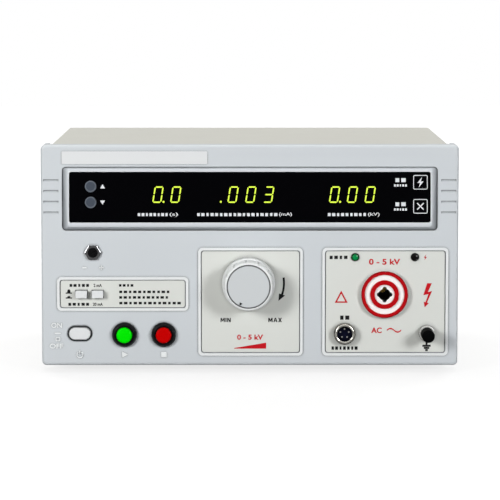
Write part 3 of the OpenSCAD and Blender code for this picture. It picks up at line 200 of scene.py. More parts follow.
def make_brush_group():
    """Fine drawn lines along X as a height."""
    tree, (given, result) = new_group("drawn_lines", {"Across": 5200.0, "Along": 60.0}, ("Height",))
    along, across = given.outputs["Along"], given.outputs["Across"]
    stretch = tree.add("CombineXYZ", {"X": along, "Y": across, "Z": across})
    place = tree.add("VectorMath", {0: tree.place(), 1: stretch.outputs[0]}, operation="MULTIPLY")
    tree.tree.links.new(tree.noise(place.outputs[0], 1.0, 3.0, 0.6), result.inputs["Height"])
    return tree.tree


def make_corner_shade_group():
    """A mask of painted shade in corners and gaps: where little light from around comes in."""
    tree, (given, result) = new_group("corner_painted_shade", {"Reach": 0.0035, "Open": 0.95, "Shut": 0.4}, ("Mask",))
    light = tree.add("AmbientOcclusion", {"Distance": given.outputs["Reach"]}, samples=6).outputs["AO"]
    shade_share = tree.spread(light, given.outputs["Open"], given.outputs["Shut"], 0.0, 1.0)
    tree.tree.links.new(shade_share, result.inputs["Mask"])
    return tree.tree


GRAIN = make_grain_group()
EDGES = make_edge_group()
CORNERS = make_corner_shade_group()
DUST = make_dust_group()
LINES = make_brush_group()


def use_group(tree, group, **values):
    node = tree.add("Group", node_tree=group)
    for key, value in values.items():
        node.inputs[key.replace("_", " ")].default_value = value
    return node.outputs


# Finishes
DUST_COLOUR = srgb(196, 192, 182)
# Distance over which a wave texture of scale 1 repeats
WAVE_LENGTH = 0.314
# Width of the flange that a lamp or a time button has behind the panel
HIDDEN_FLANGE = 0.0009
# Distances from the window over which the surround gets painted shade at its sides and below, and a painted
# highlight along the window
SIDE_SHADE = (0.0006, 0.0054)
LOW_SHADE = (0.0016, 0.0056)
WINDOW_HIGHLIGHT = (0.0009, 0.0003)
# Radii at which painted shade turns the control socket and the high-voltage socket dark, and depths in the
# latter
THROAT_R = (0.0063, 0.0060)
BORE_R = (0.0068, 0.0064)
BORE_DEEP = (0.0002, 0.0006)


def start_material(name):
    material = bpy.data.materials.new(name)
    material.use_nodes = True
    tree = Tree(material.node_tree)
    return material, tree, material.node_tree.nodes["Principled BSDF"]


def finish(name, colour, rough, grain=2600.0, depth=0.00002, tone=0.03, edge=1.06, edge_radius=0.0005,
           dust=0.0, rough_spread=0.06, height="grain", corner=0.0, reach=0.0035, zone=None, **shader):
    """One finish: colour with blotches, edge wear with a painted edge highlight, painted shade in corners,
    and dust; grain in bump and roughness.
    """
    material, tree, bsdf = start_material(name)
    wear_and_highlight = use_group(tree, EDGES, Radius=edge_radius)["Mask"]
    texture = use_group(tree, GRAIN, Grain_Scale=grain)
    base = tree.mix(texture["Tone"], tinted(colour, 1 - tone), tinted(colour, 1 + tone))
    # Edges lighten by the edge factor: partly wear, partly a painted edge highlight.
    base = tree.mix(wear_and_highlight, base, tinted(colour, edge))
    if zone:
        base = zone(tree, base)
    # Painted shade: the colour darkens in corners and gaps, where little light from around comes in.
    if corner:
        shade_share = tree.math("MULTIPLY", use_group(tree, CORNERS, Reach=reach)["Mask"], corner)
        base = tree.mix(shade_share, base, tinted(colour, 0.3))
    if dust:
        settled = tree.math("MULTIPLY", use_group(tree, DUST)["Mask"], dust)
        base = tree.mix(settled, base, DUST_COLOUR)
    surface = use_group(tree, LINES)["Height"] if height == "lines" else texture["Height"]
    bump = tree.add("Bump", {"Height": surface, "Distance": depth, "Strength": 0.6})
    dull = tree.spread(texture["Speckle"], 0.3, 0.7, rough - rough_spread, rough + rough_spread)
    tree.tree.links.new(base, bsdf.inputs["Base Color"])
    tree.tree.links.new(dull, bsdf.inputs["Roughness"])
    tree.tree.links.new(bump.outputs["Normal"], bsdf.inputs["Normal"])
    for key, value in shader.items():
        bsdf.inputs[key.replace("_", " ")].default_value = value
    return material


def metal(name, colour, rough, **more):
    shader = {"Metallic": 1.0, **more}
    return finish(name, colour, rough, grain=1400.0, tone=0.05, edge=1.15, **shader)


def from_axis(tree, axis):
    """How far a point lies from an axis that runs along Y, as a vector across it."""
    place = tree.add("VectorMath", {0: tree.place(), 1: axis}, operation="SUBTRACT").outputs[0]
    return tree.add("VectorMath", {0: place, 1: (1, 0, 1)}, operation="MULTIPLY").outputs[0]


def lens(name, colour, glow, node):
    """A coloured lamp lens: clear plastic over a tinted core, bright in the middle, with painted shade
    darkening it towards its rim.
    """
    material, tree, bsdf = start_material(name)
    texture = use_group(tree, GRAIN, Grain_Scale=900.0, Tone_Scale=300.0)
    core = tree.mix(texture["Tone"], tinted(colour, 1.1), tinted(colour, 1.5))
    radius = tree.add("VectorMath", {0: from_axis(tree, middle(node))}, operation="LENGTH").outputs["Value"]
    rim = corner(node, 0, 1) - middle(node).x - HIDDEN_FLANGE
    # Painted shade darkens the lens towards its rim
    base = tree.mix(tree.spread(radius, 0.45 * rim, 0.85 * rim, 0.0, 1.0), core, tinted(colour, 0.1))
    tree.tree.links.new(base, bsdf.inputs["Base Color"])
    tree.tree.links.new(base, bsdf.inputs["Emission Color"])
    tree.tree.links.new(tree.spread(texture["Speckle"], 0.3, 0.7, 0.05, 0.1), bsdf.inputs["Roughness"])
    bsdf.inputs["Emission Strength"].default_value = glow
    bsdf.inputs["Specular IOR Level"].default_value = 0.16
    return material


def lit(name, colour, strength):
    """A lit segment: a glowing colour that is a little stronger in its middle parts."""
    material, tree, bsdf = start_material(name)
    tone = tree.noise(tree.place(), 420.0, 2.0)
    glow = tree.mix(tone, tinted(colour, 0.86), tinted(colour, 1.12))
    tree.tree.links.new(glow, bsdf.inputs["Emission Color"])
    tree.tree.links.new(tree.mix(tone, tinted(colour, 0.3), tinted(colour, 0.4)), bsdf.inputs["Base Color"])
    bsdf.inputs["Emission Strength"].default_value = strength
    bsdf.inputs["Roughness"].default_value = 0.4
    return material


def striped(name, first, second, pitch, axis, rough, **shader):
    """Layers or wire turns: fine stripes of two colours across an axis, with matching bump."""
    material, tree, bsdf = start_material(name)
    wave = {"Vector": tree.place(), "Scale": WAVE_LENGTH / pitch, "Distortion": 0.25, "Detail": 1.0}
    bands = tree.add("TexWave", wave, bands_direction=axis)
    texture = use_group(tree, GRAIN, Grain_Scale=1200.0)
    base = tree.mix(bands.outputs["Fac"], first, second)
    base = tree.mix(tree.math("MULTIPLY", texture["Tone"], 0.3), base, tinted(first, 0.6))
    bump = tree.add("Bump", {"Height": bands.outputs["Fac"], "Distance": pitch * 0.2, "Strength": 0.7})
    tree.tree.links.new(base, bsdf.inputs["Base Color"])
    tree.tree.links.new(bump.outputs["Normal"], bsdf.inputs["Normal"])
    tree.tree.links.new(tree.spread(texture["Speckle"], 0.3, 0.7, rough - 0.05, rough + 0.05),
                        bsdf.inputs["Roughness"])
    for key, value in shader.items():
        bsdf.inputs[key.replace("_", " ")].default_value = value
    return material


def painted_slope_shade(tree, base):
    """Painted shade on the surround, darker away from the window at its sides and below, and a painted
    highlight along the window.
    """
    out = tree.add("VectorMath", {0: tree.place(), 1: window_mid}, operation="SUBTRACT").outputs[0]
    low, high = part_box("display_window")
    half_w = (high.x - low.x) / 2
    half_h = max((p - window_mid).dot(display_up) for p in window_points)
    across = tree.math("ABSOLUTE", tree.add("SeparateXYZ", {0: out}).outputs["X"])
    up = tree.add("VectorMath", {0: out, 1: display_up}, operation="DOT_PRODUCT").outputs["Value"]
    beside = tree.math("SUBTRACT", across, half_w)
    below = tree.math("SUBTRACT", tree.math("MULTIPLY", up, -1.0), half_h)
    beyond = tree.math("MAXIMUM", beside, tree.math("SUBTRACT", tree.math("ABSOLUTE", up), half_h))
    # Painted shade beside and below the window
    slope_shade = tree.math("MAXIMUM", tree.spread(beside, *SIDE_SHADE, 0.0, 0.95),
                     tree.spread(below, *LOW_SHADE, 0.0, 0.6))
    base = tree.mix(slope_shade, base, srgb(84, 89, 94))
    # Painted highlight along the window's edge
    window_highlight = tree.spread(beyond, *WINDOW_HIGHLIGHT, 0.0, 0.9)
    return tree.mix(window_highlight, base, srgb(246, 248, 249))


def painted_button_rims(tree, base):
    """Painted highlight: the time buttons get a lighter ring along their rim."""
    near = None
    for name in ("up_button", "down_button"):
        out = tree.add("VectorMath", {0: tree.place(), 1: middle(name)}, operation="SUBTRACT").outputs[0]
        along = tree.add("VectorMath", {0: out, 1: display_out}, operation="PROJECT").outputs[0]
        apart = tree.add("VectorMath", {0: out, 1: along}, operation="DISTANCE").outputs["Value"]
        near = tree.math("MINIMUM", near, apart) if near else apart
    rim = corner("up_button", 0, 1) - middle("up_button").x - HIDDEN_FLANGE
    return tree.mix(tree.spread(near, rim - 0.0010, rim - 0.0006, 0.0, 0.7), base, srgb(128, 136, 146))


def painted_rim_shade(node, start, full, share, colour):
    """Painted shade: a darker colour along the outer edge of a turned piece."""
    axis = middle(node)
    rim = corner(node, 0, 1) - axis.x

    def zone(tree, base):
        radius = tree.add("VectorMath", {0: from_axis(tree, axis)}, operation="LENGTH").outputs["Value"]
        return tree.mix(tree.spread(radius, rim - start, rim - full, 0.0, share), base, colour)

    return zone


# Painted shade along the outer rims of the knob's disc, the red rings and the ground collar
disc_rim_shade = painted_rim_shade("knob_disc", 0.0007, 0.0003, 0.8, srgb(70, 72, 74))
ring_rim_shade = painted_rim_shade("hv_rings", 0.0012, 0.0004, 0.6, srgb(112, 2, 16))
collar_rim_shade = painted_rim_shade("ground_collar", 0.0006, 0.0003, 0.75, srgb(92, 90, 86))


def painted_rim_highlight(tree, base):
    """Painted highlight: the raised rims round the labels are painted a little brighter than the face."""
    depth = tree.add("SeparateXYZ", {0: tree.place()}).outputs["Y"]
    raised = tree.spread(depth, face_y - 0.0004, face_y - 0.0009, 0.0, 0.8)
    return tree.mix(raised, base, srgb(240, 242, 242))


def painted_throat_shade(tree, base):
    """Painted shade: the control socket's shell is painted dark inside its bright front rim."""
    axis = middle("control_shell")
    radius = tree.add("VectorMath", {0: from_axis(tree, axis)}, operation="LENGTH").outputs["Value"]
    inside = tree.spread(radius, *THROAT_R, 0.0, 1.0)
    return tree.mix(inside, base, srgb(10, 10, 12))


def painted_bore_shade(tree, base):
    """Painted shade: the socket's bore and its key slots are painted black deep inside."""
    axis = middle("hv_socket")
    radius = tree.add("VectorMath", {0: from_axis(tree, axis)}, operation="LENGTH").outputs["Value"]
    depth = tree.add("SeparateXYZ", {0: tree.place()}).outputs["Y"]
    front = corner("hv_socket", 1, 0)
    inside = tree.math("MULTIPLY", tree.spread(radius, *BORE_R, 0.0, 1.0),
                       tree.spread(depth, front + BORE_DEEP[0], front + BORE_DEEP[1], 0.0, 1.0))
    return tree.mix(inside, base, srgb(8, 8, 9))


moulding = finish("moulding", srgb(206, 211, 215), 0.48, grain=1500.0, depth=0.00003, tone=0.012, dust=0.06,
                  corner=0.9, reach=0.002, zone=painted_rim_highlight)
# Painted highlight: a lighter copy of the moulding for the raised signs and words
raised_highlight_finish = finish("raised", srgb(238, 241, 242), 0.42, grain=2600.0, depth=0.00001, tone=0.012)
surround = finish("surround", srgb(214, 219, 224), 0.36, grain=2600.0, depth=0.00001, tone=0.012, dust=0.05,
                  corner=0.7, zone=painted_slope_shade)
window = finish("window", srgb(2, 2, 4), 0.14, grain=500.0, depth=0.000003, tone=0.2, edge=1.6,
                rough_spread=0.04, Specular_IOR_Level=0.08)
slate = finish("slate", srgb(60, 68, 80), 0.4, tone=0.08, zone=painted_button_rims, Specular_IOR_Level=0.25)
plate = finish("plate", srgb(226, 228, 229), 0.4, tone=0.015, height="lines", depth=0.000006)
label = finish("label", srgb(220, 222, 217), 0.5, grain=3200.0, depth=0.000008, tone=0.01, edge=1.02,
               corner=0.5)
cover = finish("cover", srgb(211, 211, 204), 0.56, grain=700.0, depth=0.00004, tone=0.02, dust=0.12,
               corner=0.4, Specular_IOR_Level=0.2)
sheet = finish("sheet", srgb(196, 197, 195), 0.46, grain=500.0, depth=0.00001, tone=0.04, corner=0.4,
               Metallic=0.35)
black_plastic = finish("black_plastic", srgb(7, 7, 9), 0.34, tone=0.15, edge=2.0, Specular_IOR_Level=0.12)
# Dark grey of the painted shade ring in the power button's gap
gap_shade_grey = finish("gap_shade_grey", srgb(54, 56, 58), 0.5, tone=0.1, edge=1.3, Specular_IOR_Level=0.2)
cap_black = finish("cap_black", srgb(8, 8, 9), 0.6, tone=0.15, edge=2.0, Specular_IOR_Level=0.01)
grey_plastic = finish("grey_plastic", srgb(228, 230, 231), 0.42, tone=0.015, corner=0.6)
knob_finish = finish("knob", srgb(232, 234, 234), 0.34, grain=2600.0, depth=0.000012, tone=0.012, corner=0.5)
disc_finish = finish("disc", srgb(207, 211, 213), 0.34, tone=0.02, height="lines", depth=0.00001,
                     zone=disc_rim_shade)
green_cap = finish("green_cap", srgb(0, 238, 0), 0.36, tone=0.04, edge=1.05, Specular_IOR_Level=0.04)
red_cap = finish("red_cap", srgb(200, 0, 0), 0.36, tone=0.05, edge=1.08, Specular_IOR_Level=0.04)
hv_red = finish("hv_red", srgb(186, 2, 12), 0.4, tone=0.06, edge=1.05, zone=ring_rim_shade, Specular_IOR_Level=0.1)
insulator = finish("insulator", srgb(254, 254, 252), 0.4, tone=0.012, zone=painted_bore_shade)
rubber = finish("rubber", srgb(28, 28, 29), 0.75, grain=1800.0, depth=0.00005, tone=0.15, edge=1.5)
insert = finish("insert", srgb(8, 12, 38), 0.4, tone=0.12, edge=1.5, corner=0.8, Specular_IOR_Level=0.08)
board = finish("board", srgb(18, 78, 44), 0.35, tone=0.12, grain=900.0)
parts = finish("parts", srgb(60, 62, 70), 0.5, tone=0.2)
digits_finish = finish("digits", srgb(58, 60, 58), 0.5, tone=0.06)
tape = finish("tape", srgb(216, 178, 70), 0.45, tone=0.08)
carbon = finish("carbon", srgb(34, 34, 36), 0.6, tone=0.15, edge=1.5)
glass = finish("glass", srgb(190, 205, 210), 0.1, tone=0.05, Coat_Weight=0.5)
nickel = metal("nickel", srgb(214, 214, 212), 0.2)
satin = metal("satin", srgb(226, 226, 223), 0.24, Metallic=0.5, zone=collar_rim_shade)
dark_chrome = metal("dark_chrome", srgb(128, 128, 130), 0.14)
chrome = metal("chrome", srgb(204, 202, 194), 0.2)
shell_chrome = metal("shell_chrome", srgb(108, 105, 97), 0.16, zone=painted_throat_shade)
steel = metal("steel", srgb(186, 186, 184), 0.3)
cast = metal("cast", srgb(160, 162, 164), 0.5, depth=0.00006)
brass = metal("brass", srgb(205, 166, 84), 0.28)
copper = striped("copper", srgb(186, 104, 56), srgb(120, 58, 28), 0.0011, "X", 0.35, Metallic=0.6)
iron = striped("iron", srgb(92, 94, 98), srgb(54, 54, 58), 0.0006, "Y", 0.5, Metallic=0.5)
green_lamp = lens("green_lamp", srgb(0, 112, 56), 0.2, "ready_lamp")
dark_lamp = lens("dark_lamp", srgb(6, 4, 4), 0.0, "warning_lamp")
lit_segment = lit("lit_segment", srgb(212, 238, 64), 1.0)
white_ink = finish("white_ink", srgb(226, 229, 232), 0.5, tone=0.03, edge=1.0)
black_ink = finish("black_ink", srgb(9, 9, 11), 0.55, tone=0.1, edge=1.0, Specular_IOR_Level=0.2)
red_ink = finish("red_ink", srgb(196, 4, 22), 0.55, tone=0.06, edge=1.0, Specular_IOR_Level=0.2)

FINISHES = (
    (moulding, ("front_bezel",)),
    (surround, ("display_surround",)),
    (window, ("display_window",)),
    (board, ("display_board", "main_board")),
    (digits_finish, ("digit_blocks", "square_lamps")),
    (slate, ("up_button", "down_button")),
    (plate, ("name_plate",)),
    (label, ("mode_label", "adjust_label", "output_label")),
    (black_plastic, ("tact_switches", "preset_pot", "preset_shaft", "latching_switches", "power_switch",
                     "start_ring", "stop_ring", "mains_inlet", "fuse_drawer")),
    (cap_black, ("ground_cap",)),
    (grey_plastic, ("mode_button", "range_button", "power_button")),
    (nickel, ("inlet_pins", "control_pins")),
    (satin, ("ground_collar", "clamp_washer")),
    (dark_chrome, ("preset_nut",)),
    (shell_chrome, ("control_shell",)),
    (steel, ("panel_nuts", "knob_shaft", "ground_post", "case_screws")),
    (green_cap, ("start_cap",)),
    (red_cap, ("stop_cap",)),
    (knob_finish, ("voltage_knob",)),
    (disc_finish, ("knob_disc",)),
    (brass, ("brush_arm", "hv_contact")),
    (carbon, ("carbon_brush",)),
    (cast, ("variac_stand",)),
    (copper, ("variac_coil",)),
    (insulator, ("hv_socket", "hv_nut")),
    (hv_red, ("hv_rings",)),
    (green_lamp, ("ready_lamp",)),
    (dark_lamp, ("warning_lamp",)),
    (insert, ("control_insert_block",)),
    (sheet, ("base_tray", "rear_panel")),
    (cover, ("top_cover",)),
    (rubber, ("rubber_feet",)),
    (glass, ("fuse",)),
    (iron, ("core_stack",)),
    (tape, ("core_coil",)),
    (parts, ("board_parts",)),
)
for material, names in FINISHES:
    for name in names:
        nodes[name].data.materials.clear()
        nodes[name].data.materials.append(material)


# Softer edges on the pieces that show
def soften(name, width):
    """Merge a node's triangles into flat faces and round its sharp edges a little."""
    weld = nodes[name].modifiers.new("weld", "WELD")
    weld.merge_threshold = 1e-6
    flat = nodes[name].modifiers.new("flat_faces", "DECIMATE")
    flat.decimate_type = "DISSOLVE"
    flat.angle_limit = math.radians(0.5)
    bevel = nodes[name].modifiers.new("soft_edges", "BEVEL")
    bevel.width = width
    bevel.segments = 2
    bevel.limit_method = "ANGLE"
    bevel.angle_limit = math.radians(35)
    bevel.harden_normals = False


# Printed and raised marks, in millimetres on their own surface
# Thickness of print, and how much heavier than plain the bold print is
PRINT = 0.06
BOLD = 0.03


def only(*objects):
    bpy.ops.object.select_all(action="DESELECT")
    for one in objects:
        one.select_set(True)
    bpy.context.view_layer.objects.active = objects[0]


def arc(x, y, radius, start, end, steps):
    """Points along an arc, in degrees anticlockwise from the right."""
    turns = [math.radians(start + (end - start) * i / steps) for i in range(steps + 1)]
    return [(x + radius * math.cos(t), y + radius * math.sin(t)) for t in turns]


def circle(x, y, radius, steps=40):
    return arc(x, y, radius, 0, 360 - 360 / steps, steps - 1)


def bar(x, y, width, height):
    """A rectangle about its middle."""
    return [(x - width / 2, y - height / 2), (x + width / 2, y - height / 2),
            (x + width / 2, y + height / 2), (x - width / 2, y + height / 2)]


def rounded(x, y, width, height, radius):
    """A rectangle with round corners about its middle."""
    right, top = width / 2 - radius, height / 2 - radius
    points = []
    for sx, sy, start in ((1, 1, 0), (-1, 1, 90), (-1, -1, 180), (1, -1, 270)):
        points += arc(x + sx * right, y + sy * top, radius, start, start + 90, 4)
    return points


def frame_of(x, y, width, height, radius, line):
    """A rounded frame of one line width: an outer and an inner outline."""
    return [rounded(x, y, width, height, radius),
            rounded(x, y, width - 2 * line, height - 2 * line, radius - line)]


def stadium(x, y, length, height):
    """A bar with round ends about its middle."""
    reach = (length - height) / 2
    return arc(x + reach, y, height / 2, -90, 90, 14) + arc(x - reach, y, height / 2, 90, 270, 14)


def moved(points, x, y, scale=1.0):
    return [(x + scale * px, y + scale * py) for px, py in points]


def turned(points, degrees):
    """Points turned anticlockwise about the origin."""
    c, s = math.cos(math.radians(degrees)), math.sin(math.radians(degrees))
    return [(c * x - s * y, s * x + c * y) for x, y in points]


def flat_shape(outlines, thick, round_edge=0.0):
    """A flat closed shape from outlines in millimetres, as a curve that is filled and given its thickness."""
    curve = bpy.data.curves.new("flat_shape", "CURVE")
    curve.dimensions = "2D"
    curve.fill_mode = "BOTH"
    curve.extrude = thick / 2 - round_edge
    curve.bevel_depth = round_edge
    curve.bevel_resolution = 1
    for points in outlines:
        spline = curve.splines.new("POLY")
        spline.points.add(len(points) - 1)
        for point, (x, y) in zip(spline.points, points):
            point.co = (x, y, 0, 1)
        spline.use_cyclic_u = True
    made = bpy.data.objects.new("flat_shape", curve)
    bpy.context.scene.collection.objects.link(made)
    return made


def words(text, x, y, height, thick, width=None, bold=0.012):
    """Plain lettering of one height, and of one width where that is given, about its middle."""
    bpy.ops.object.select_all(action="DESELECT")
    bpy.ops.object.text_add()
    made = bpy.context.object
    made.data.body = text
    made.data.resolution_u = 4
    made.data.extrude = thick / 2
    made.data.offset = bold
    only(made)
    bpy.ops.object.convert(target="MESH")
    made = bpy.context.object
    xs = [v.co.x for v in made.data.vertices]
    ys = [v.co.y for v in made.data.vertices]
    tall = height / (max(ys) - min(ys))
    wide = width / (max(xs) - min(xs)) if width else tall
    shift = Matrix.Translation((-(max(xs) + min(xs)) / 2, -(max(ys) + min(ys)) / 2, 0))
    made.data.transform(Matrix.Translation((x, y, 0)) @ Matrix.Diagonal((wide, tall, 1, 1)) @ shift)
    return made


def capital(letter, tall, stroke):
    """Width and outlines of one bold capital that stands on its lower left corner."""
    if letter == "I":
        return stroke, [[(0, 0), (0, tall), (stroke, tall), (stroke, 0)]]
    wide = tall if letter in "MA" else 0.85 * tall
    mid = wide / 2
    slant = 1.2 * stroke
    if letter == "M":
        left = [(0, 0), (0, tall), (slant, tall), (mid, 0.45 * tall)]
        under = [(wide - stroke, 0), (wide - stroke, tall - 2 * stroke), (mid, 0.45 * tall - 1.5 * stroke)]
        return wide, [left + [(wide - slant, tall), (wide, tall), (wide, 0)] + under
                      + [(stroke, tall - 2 * stroke), (stroke, 0)]]
    if letter == "N":
        left = [(stroke, 0), (0, 0), (0, tall), (slant, tall), (wide - stroke, 1.7 * stroke)]
        return wide, [left + [(wide - px, tall - py) for px, py in left]]
    if letter == "X":
        upper = [(0, tall), (slant, tall), (mid, tall / 2 + 0.8 * stroke), (wide - slant, tall), (wide, tall)]
        upper.append((mid + 0.65 * stroke, tall / 2))
        return wide, [upper + [(wide - px, tall - py) for px, py in upper]]
    apex = 0.8 * tall
    low, high = 0.2 * tall, 0.2 * tall + 0.8 * stroke
    inner = mid - slant
    reach_low, reach_high = inner * (1 - low / apex), inner * (1 - high / apex)
    outer = [(0, 0), (mid - 0.55 * stroke, tall), (mid + 0.55 * stroke, tall), (wide, 0), (wide - slant, 0)]
    outer += [(mid + reach_low, low), (mid - reach_low, low), (slant, 0)]
    return wide, [outer, [(mid, apex), (mid + reach_high, high), (mid - reach_high, high)]]


def capitals(text, x, y, tall, stroke, gap, thick):
    """A short word of bold capitals about its middle."""
    letters = [capital(letter, tall, stroke) for letter in text]
    at = x - (sum(wide for wide, _ in letters) + gap * (len(letters) - 1)) / 2
    shapes = []
    for wide, outlines in letters:
        placed = [[(at + px, y - tall / 2 + py) for px, py in outline] for outline in outlines]
        shapes.append(flat_shape(placed, thick))
        at += wide + gap
    return shapes


def marks(name, shapes, place, material, body=BODY, lift=0.0):
    """Join shapes that lie on one surface into one piece and put it in its place."""
    for shape in shapes:
        if shape.type == "CURVE":
            only(shape)
            bpy.ops.object.convert(target="MESH")
    only(*shapes)
    if len(shapes) > 1:
        bpy.ops.object.join()
    piece = bpy.context.object
    bpy.ops.object.mode_set(mode="EDIT")
    bpy.ops.mesh.select_all(action="SELECT")
    bpy.ops.mesh.remove_doubles(threshold=0.0005)
    bpy.ops.mesh.normals_make_consistent(inside=False)
    bpy.ops.object.mode_set(mode="OBJECT")
    piece.data.transform(place @ Matrix.Scale(MM, 4) @ Matrix.Translation((0, 0, lift)))
    piece.name = name
    piece.data.materials.clear()
    piece.data.materials.append(material)
    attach(piece, body)
    return piece


# Display: lit digits, units and signs
DIGIT_W, DIGIT_H, STROKE, LEAN = 7.0, 12.6, 1.02, 0.16
DIGIT_PITCH = 13.6
DIGIT_UP = 2.0
POINT_OUT, POINT_R = 1.7, 0.78
GROUPS = {"timer": (-70.2, 3, " 0.0"), "current": (-6.0, 4, " .003"), "voltage": (78.4, 3, "0.00")}
SEGMENTS = {"0": "abcdef", "3": "abcdg"}


def leaning(points):
    return [(x + LEAN * y, y) for x, y in points]


def segment(letter):
    """The six-cornered outline of one segment of a digit about the digit's middle."""
    gap, half = 0.22, STROKE / 2
    across = DIGIT_W / 2 - half
    up = DIGIT_H / 2 - half
    ends = {"a": ((-across, up), (across, up)), "g": ((-across, 0), (across, 0)),
            "d": ((-across, -up), (across, -up)), "f": ((-across, 0), (-across, up)),
            "b": ((across, 0), (across, up)), "e": ((-across, -up), (-across, 0)),
            "c": ((across, -up), (across, 0))}
    (x0, y0), (x1, y1) = ends[letter]
    if y0 == y1:
        x0, x1 = x0 + gap, x1 - gap
        return [(x0, y0), (x0 + half, y0 - half), (x1 - half, y0 - half), (x1, y0), (x1 - half, y0 + half),
                (x0 + half, y0 + half)]
    y0, y1 = y0 + gap, y1 - gap
    return [(x0, y0), (x0 + half, y0 + half), (x0 + half, y1 - half), (x0, y1), (x0 - half, y1 - half),
            (x0 - half, y0 + half)]


def number_outlines(text, first_x):
    """Outlines of a row of digits, one pitch apart, with points at the lower right of their digit."""
    outlines = []
    place = -1
    for sign in text:
        if sign == ".":
            x = first_x + place * DIGIT_PITCH + DIGIT_W / 2 + POINT_OUT - LEAN * DIGIT_H / 2
            outlines.append(circle(x, DIGIT_UP - DIGIT_H / 2 + POINT_R, POINT_R, 16))
            continue
        place += 1
        for letter in SEGMENTS.get(sign, ""):
            outlines.append(moved(leaning(segment(letter)), first_x + place * DIGIT_PITCH, DIGIT_UP))
    return outlines


for group, (centre, count, text) in GROUPS.items():
    first = centre - (count - 1) / 2 * DIGIT_PITCH
    marks(f"{group}_digits", [flat_shape(number_outlines(text, first), PRINT)], DISPLAY, lit_segment,
          lift=PRINT / 2)


def small_print(x, z, length, count, height):
    """A row of short bars as a line of print that can't be read; their widths follow a fixed wave."""
    pitch = length / count
    outlines = []
    for i in range(count):
        width = pitch * (0.62 + 0.14 * math.sin(2.3 * i))
        outlines.append(bar(x + (i + 0.5) * pitch, z, width, height))
    return outlines


UNIT_V, UNIT_H, UNIT_BAR_H, UNIT_GAP = -13.3, 3.2, 2.3, 1.6
# Each unit, its row's middle, length and number of bars, and the width kept for the unit
UNITS = (("(s)", -70.2, 32, 8, 8.0), ("(mA)", -4.0, 74, 18, 11.5), ("(kV)", 79.5, 41, 9, 10.5))
unit_shapes = []
for text, x, span, count, width in UNITS:
    unit_shapes.append(words(text, x + (span - width) / 2, UNIT_V, UNIT_H, PRINT, width - UNIT_GAP))
    unit_shapes.append(flat_shape(small_print(x - span / 2, UNIT_V, span - width, count, UNIT_BAR_H), PRINT))
LAMP_X, LAMP_HIGH, LAMP_LOW = 130.4, 11.4, -7.0
LAMP_BOX, LAMP_CORNER, LAMP_LINE = 11.0, 1.2, 0.55
LAMP_BOLT, CROSS_LONG, CROSS_LINE = 8.0, 7.0, 0.85
# Rows of bars beside each lamp: how far left and up they start, length, number of bars and their height
LAMP_ROWS = ((20.0, 1.6, 9.4, 2, 3.0), (20.6, -2.4, 10.6, 5, 1.7))
BOLT = ((0.16, 0.5), (-0.3, -0.06), (-0.04, -0.06), (-0.16, -0.5), (0.3, 0.08), (0.04, 0.08))
ARROWHEAD = ((-1.9, -1.5), (1.9, -1.5), (0, 1.7))
TIME_X, TIME_HIGH, TIME_LOW = -112.6, 8.2, -4.0
sign_outlines = []
for v in (LAMP_HIGH, LAMP_LOW):
    sign_outlines.append(frame_of(LAMP_X, v, LAMP_BOX, LAMP_BOX, LAMP_CORNER, LAMP_LINE))
    for left, up, length, count, tall in LAMP_ROWS:
        sign_outlines.append(small_print(LAMP_X - left, v + up, length, count, tall))
sign_outlines.append([moved(BOLT, LAMP_X, LAMP_HIGH, LAMP_BOLT)])
for turn in (45, -45):
    sign_outlines.append([moved(turned(bar(0, 0, CROSS_LONG, CROSS_LINE), turn), LAMP_X, LAMP_LOW)])
sign_outlines.append([moved(ARROWHEAD, TIME_X, TIME_HIGH)])
sign_outlines.append([moved(turned(ARROWHEAD, 180), TIME_X, TIME_LOW)])
signs = [flat_shape(outlines, PRINT) for outlines in sign_outlines]
marks("display_units", unit_shapes, DISPLAY, white_ink, lift=PRINT / 2)
marks("display_signs", signs, DISPLAY, white_ink, lift=PRINT / 2)


# Mode label: range numbers, push signs and lines of unreadable small print
RANGE_X = middle("range_button").x / MM
MODE_HIGH, MODE_LOW = 67.0, 52.4
RANGE_H, CAPTION_H, NOTE_H = 2.4, 2.2, 1.9
CAPTION_BARS = 5
PUSH_X, PUSH_OUT_Z, PUSH_IN_Z = -139.0, 60.6, 56.8
NOTE_X = -101.0
# Lines of the note: height, length and number of bars
NOTE_LINES = ((67.0, 12.0, 4), (62.0, 40.0, 11), (57.7, 39.0, 11), (53.3, 48.5, 13))


def push_sign(x, z, pressed):
    """A button seen from the side on its panel, standing out or pressed in."""
    cap = 1.1 if pressed else 2.4
    half = [(2.4, 0), (2.4, 0.9), (1.2, 0.9), (1.2, 0.9 + cap * 0.5), (0.7, 0.9 + cap)]
    return [moved([(-px, py) for px, py in half] + half[::-1], x, z)]


mode_shapes = [words("2 mA", RANGE_X, MODE_HIGH, RANGE_H, PRINT, 6.4, BOLD),
               words("20 mA", RANGE_X, MODE_LOW, RANGE_H, PRINT, 7.6, BOLD)]
for x, z, length in ((-139.0, MODE_HIGH, 16.0), (-140.0, MODE_LOW, 17.0)):
    mode_shapes.append(flat_shape(small_print(x, z, length, CAPTION_BARS, CAPTION_H), PRINT))
for z, pressed in ((PUSH_OUT_Z, False), (PUSH_IN_Z, True)):
    mode_shapes.append(flat_shape(push_sign(PUSH_X, z, pressed), PRINT))
for z, length, count in NOTE_LINES:
    mode_shapes.append(flat_shape(small_print(NOTE_X, z, length, count, NOTE_H), PRINT))
marks("mode_print", mode_shapes, LABEL, black_ink, lift=PRINT / 2)


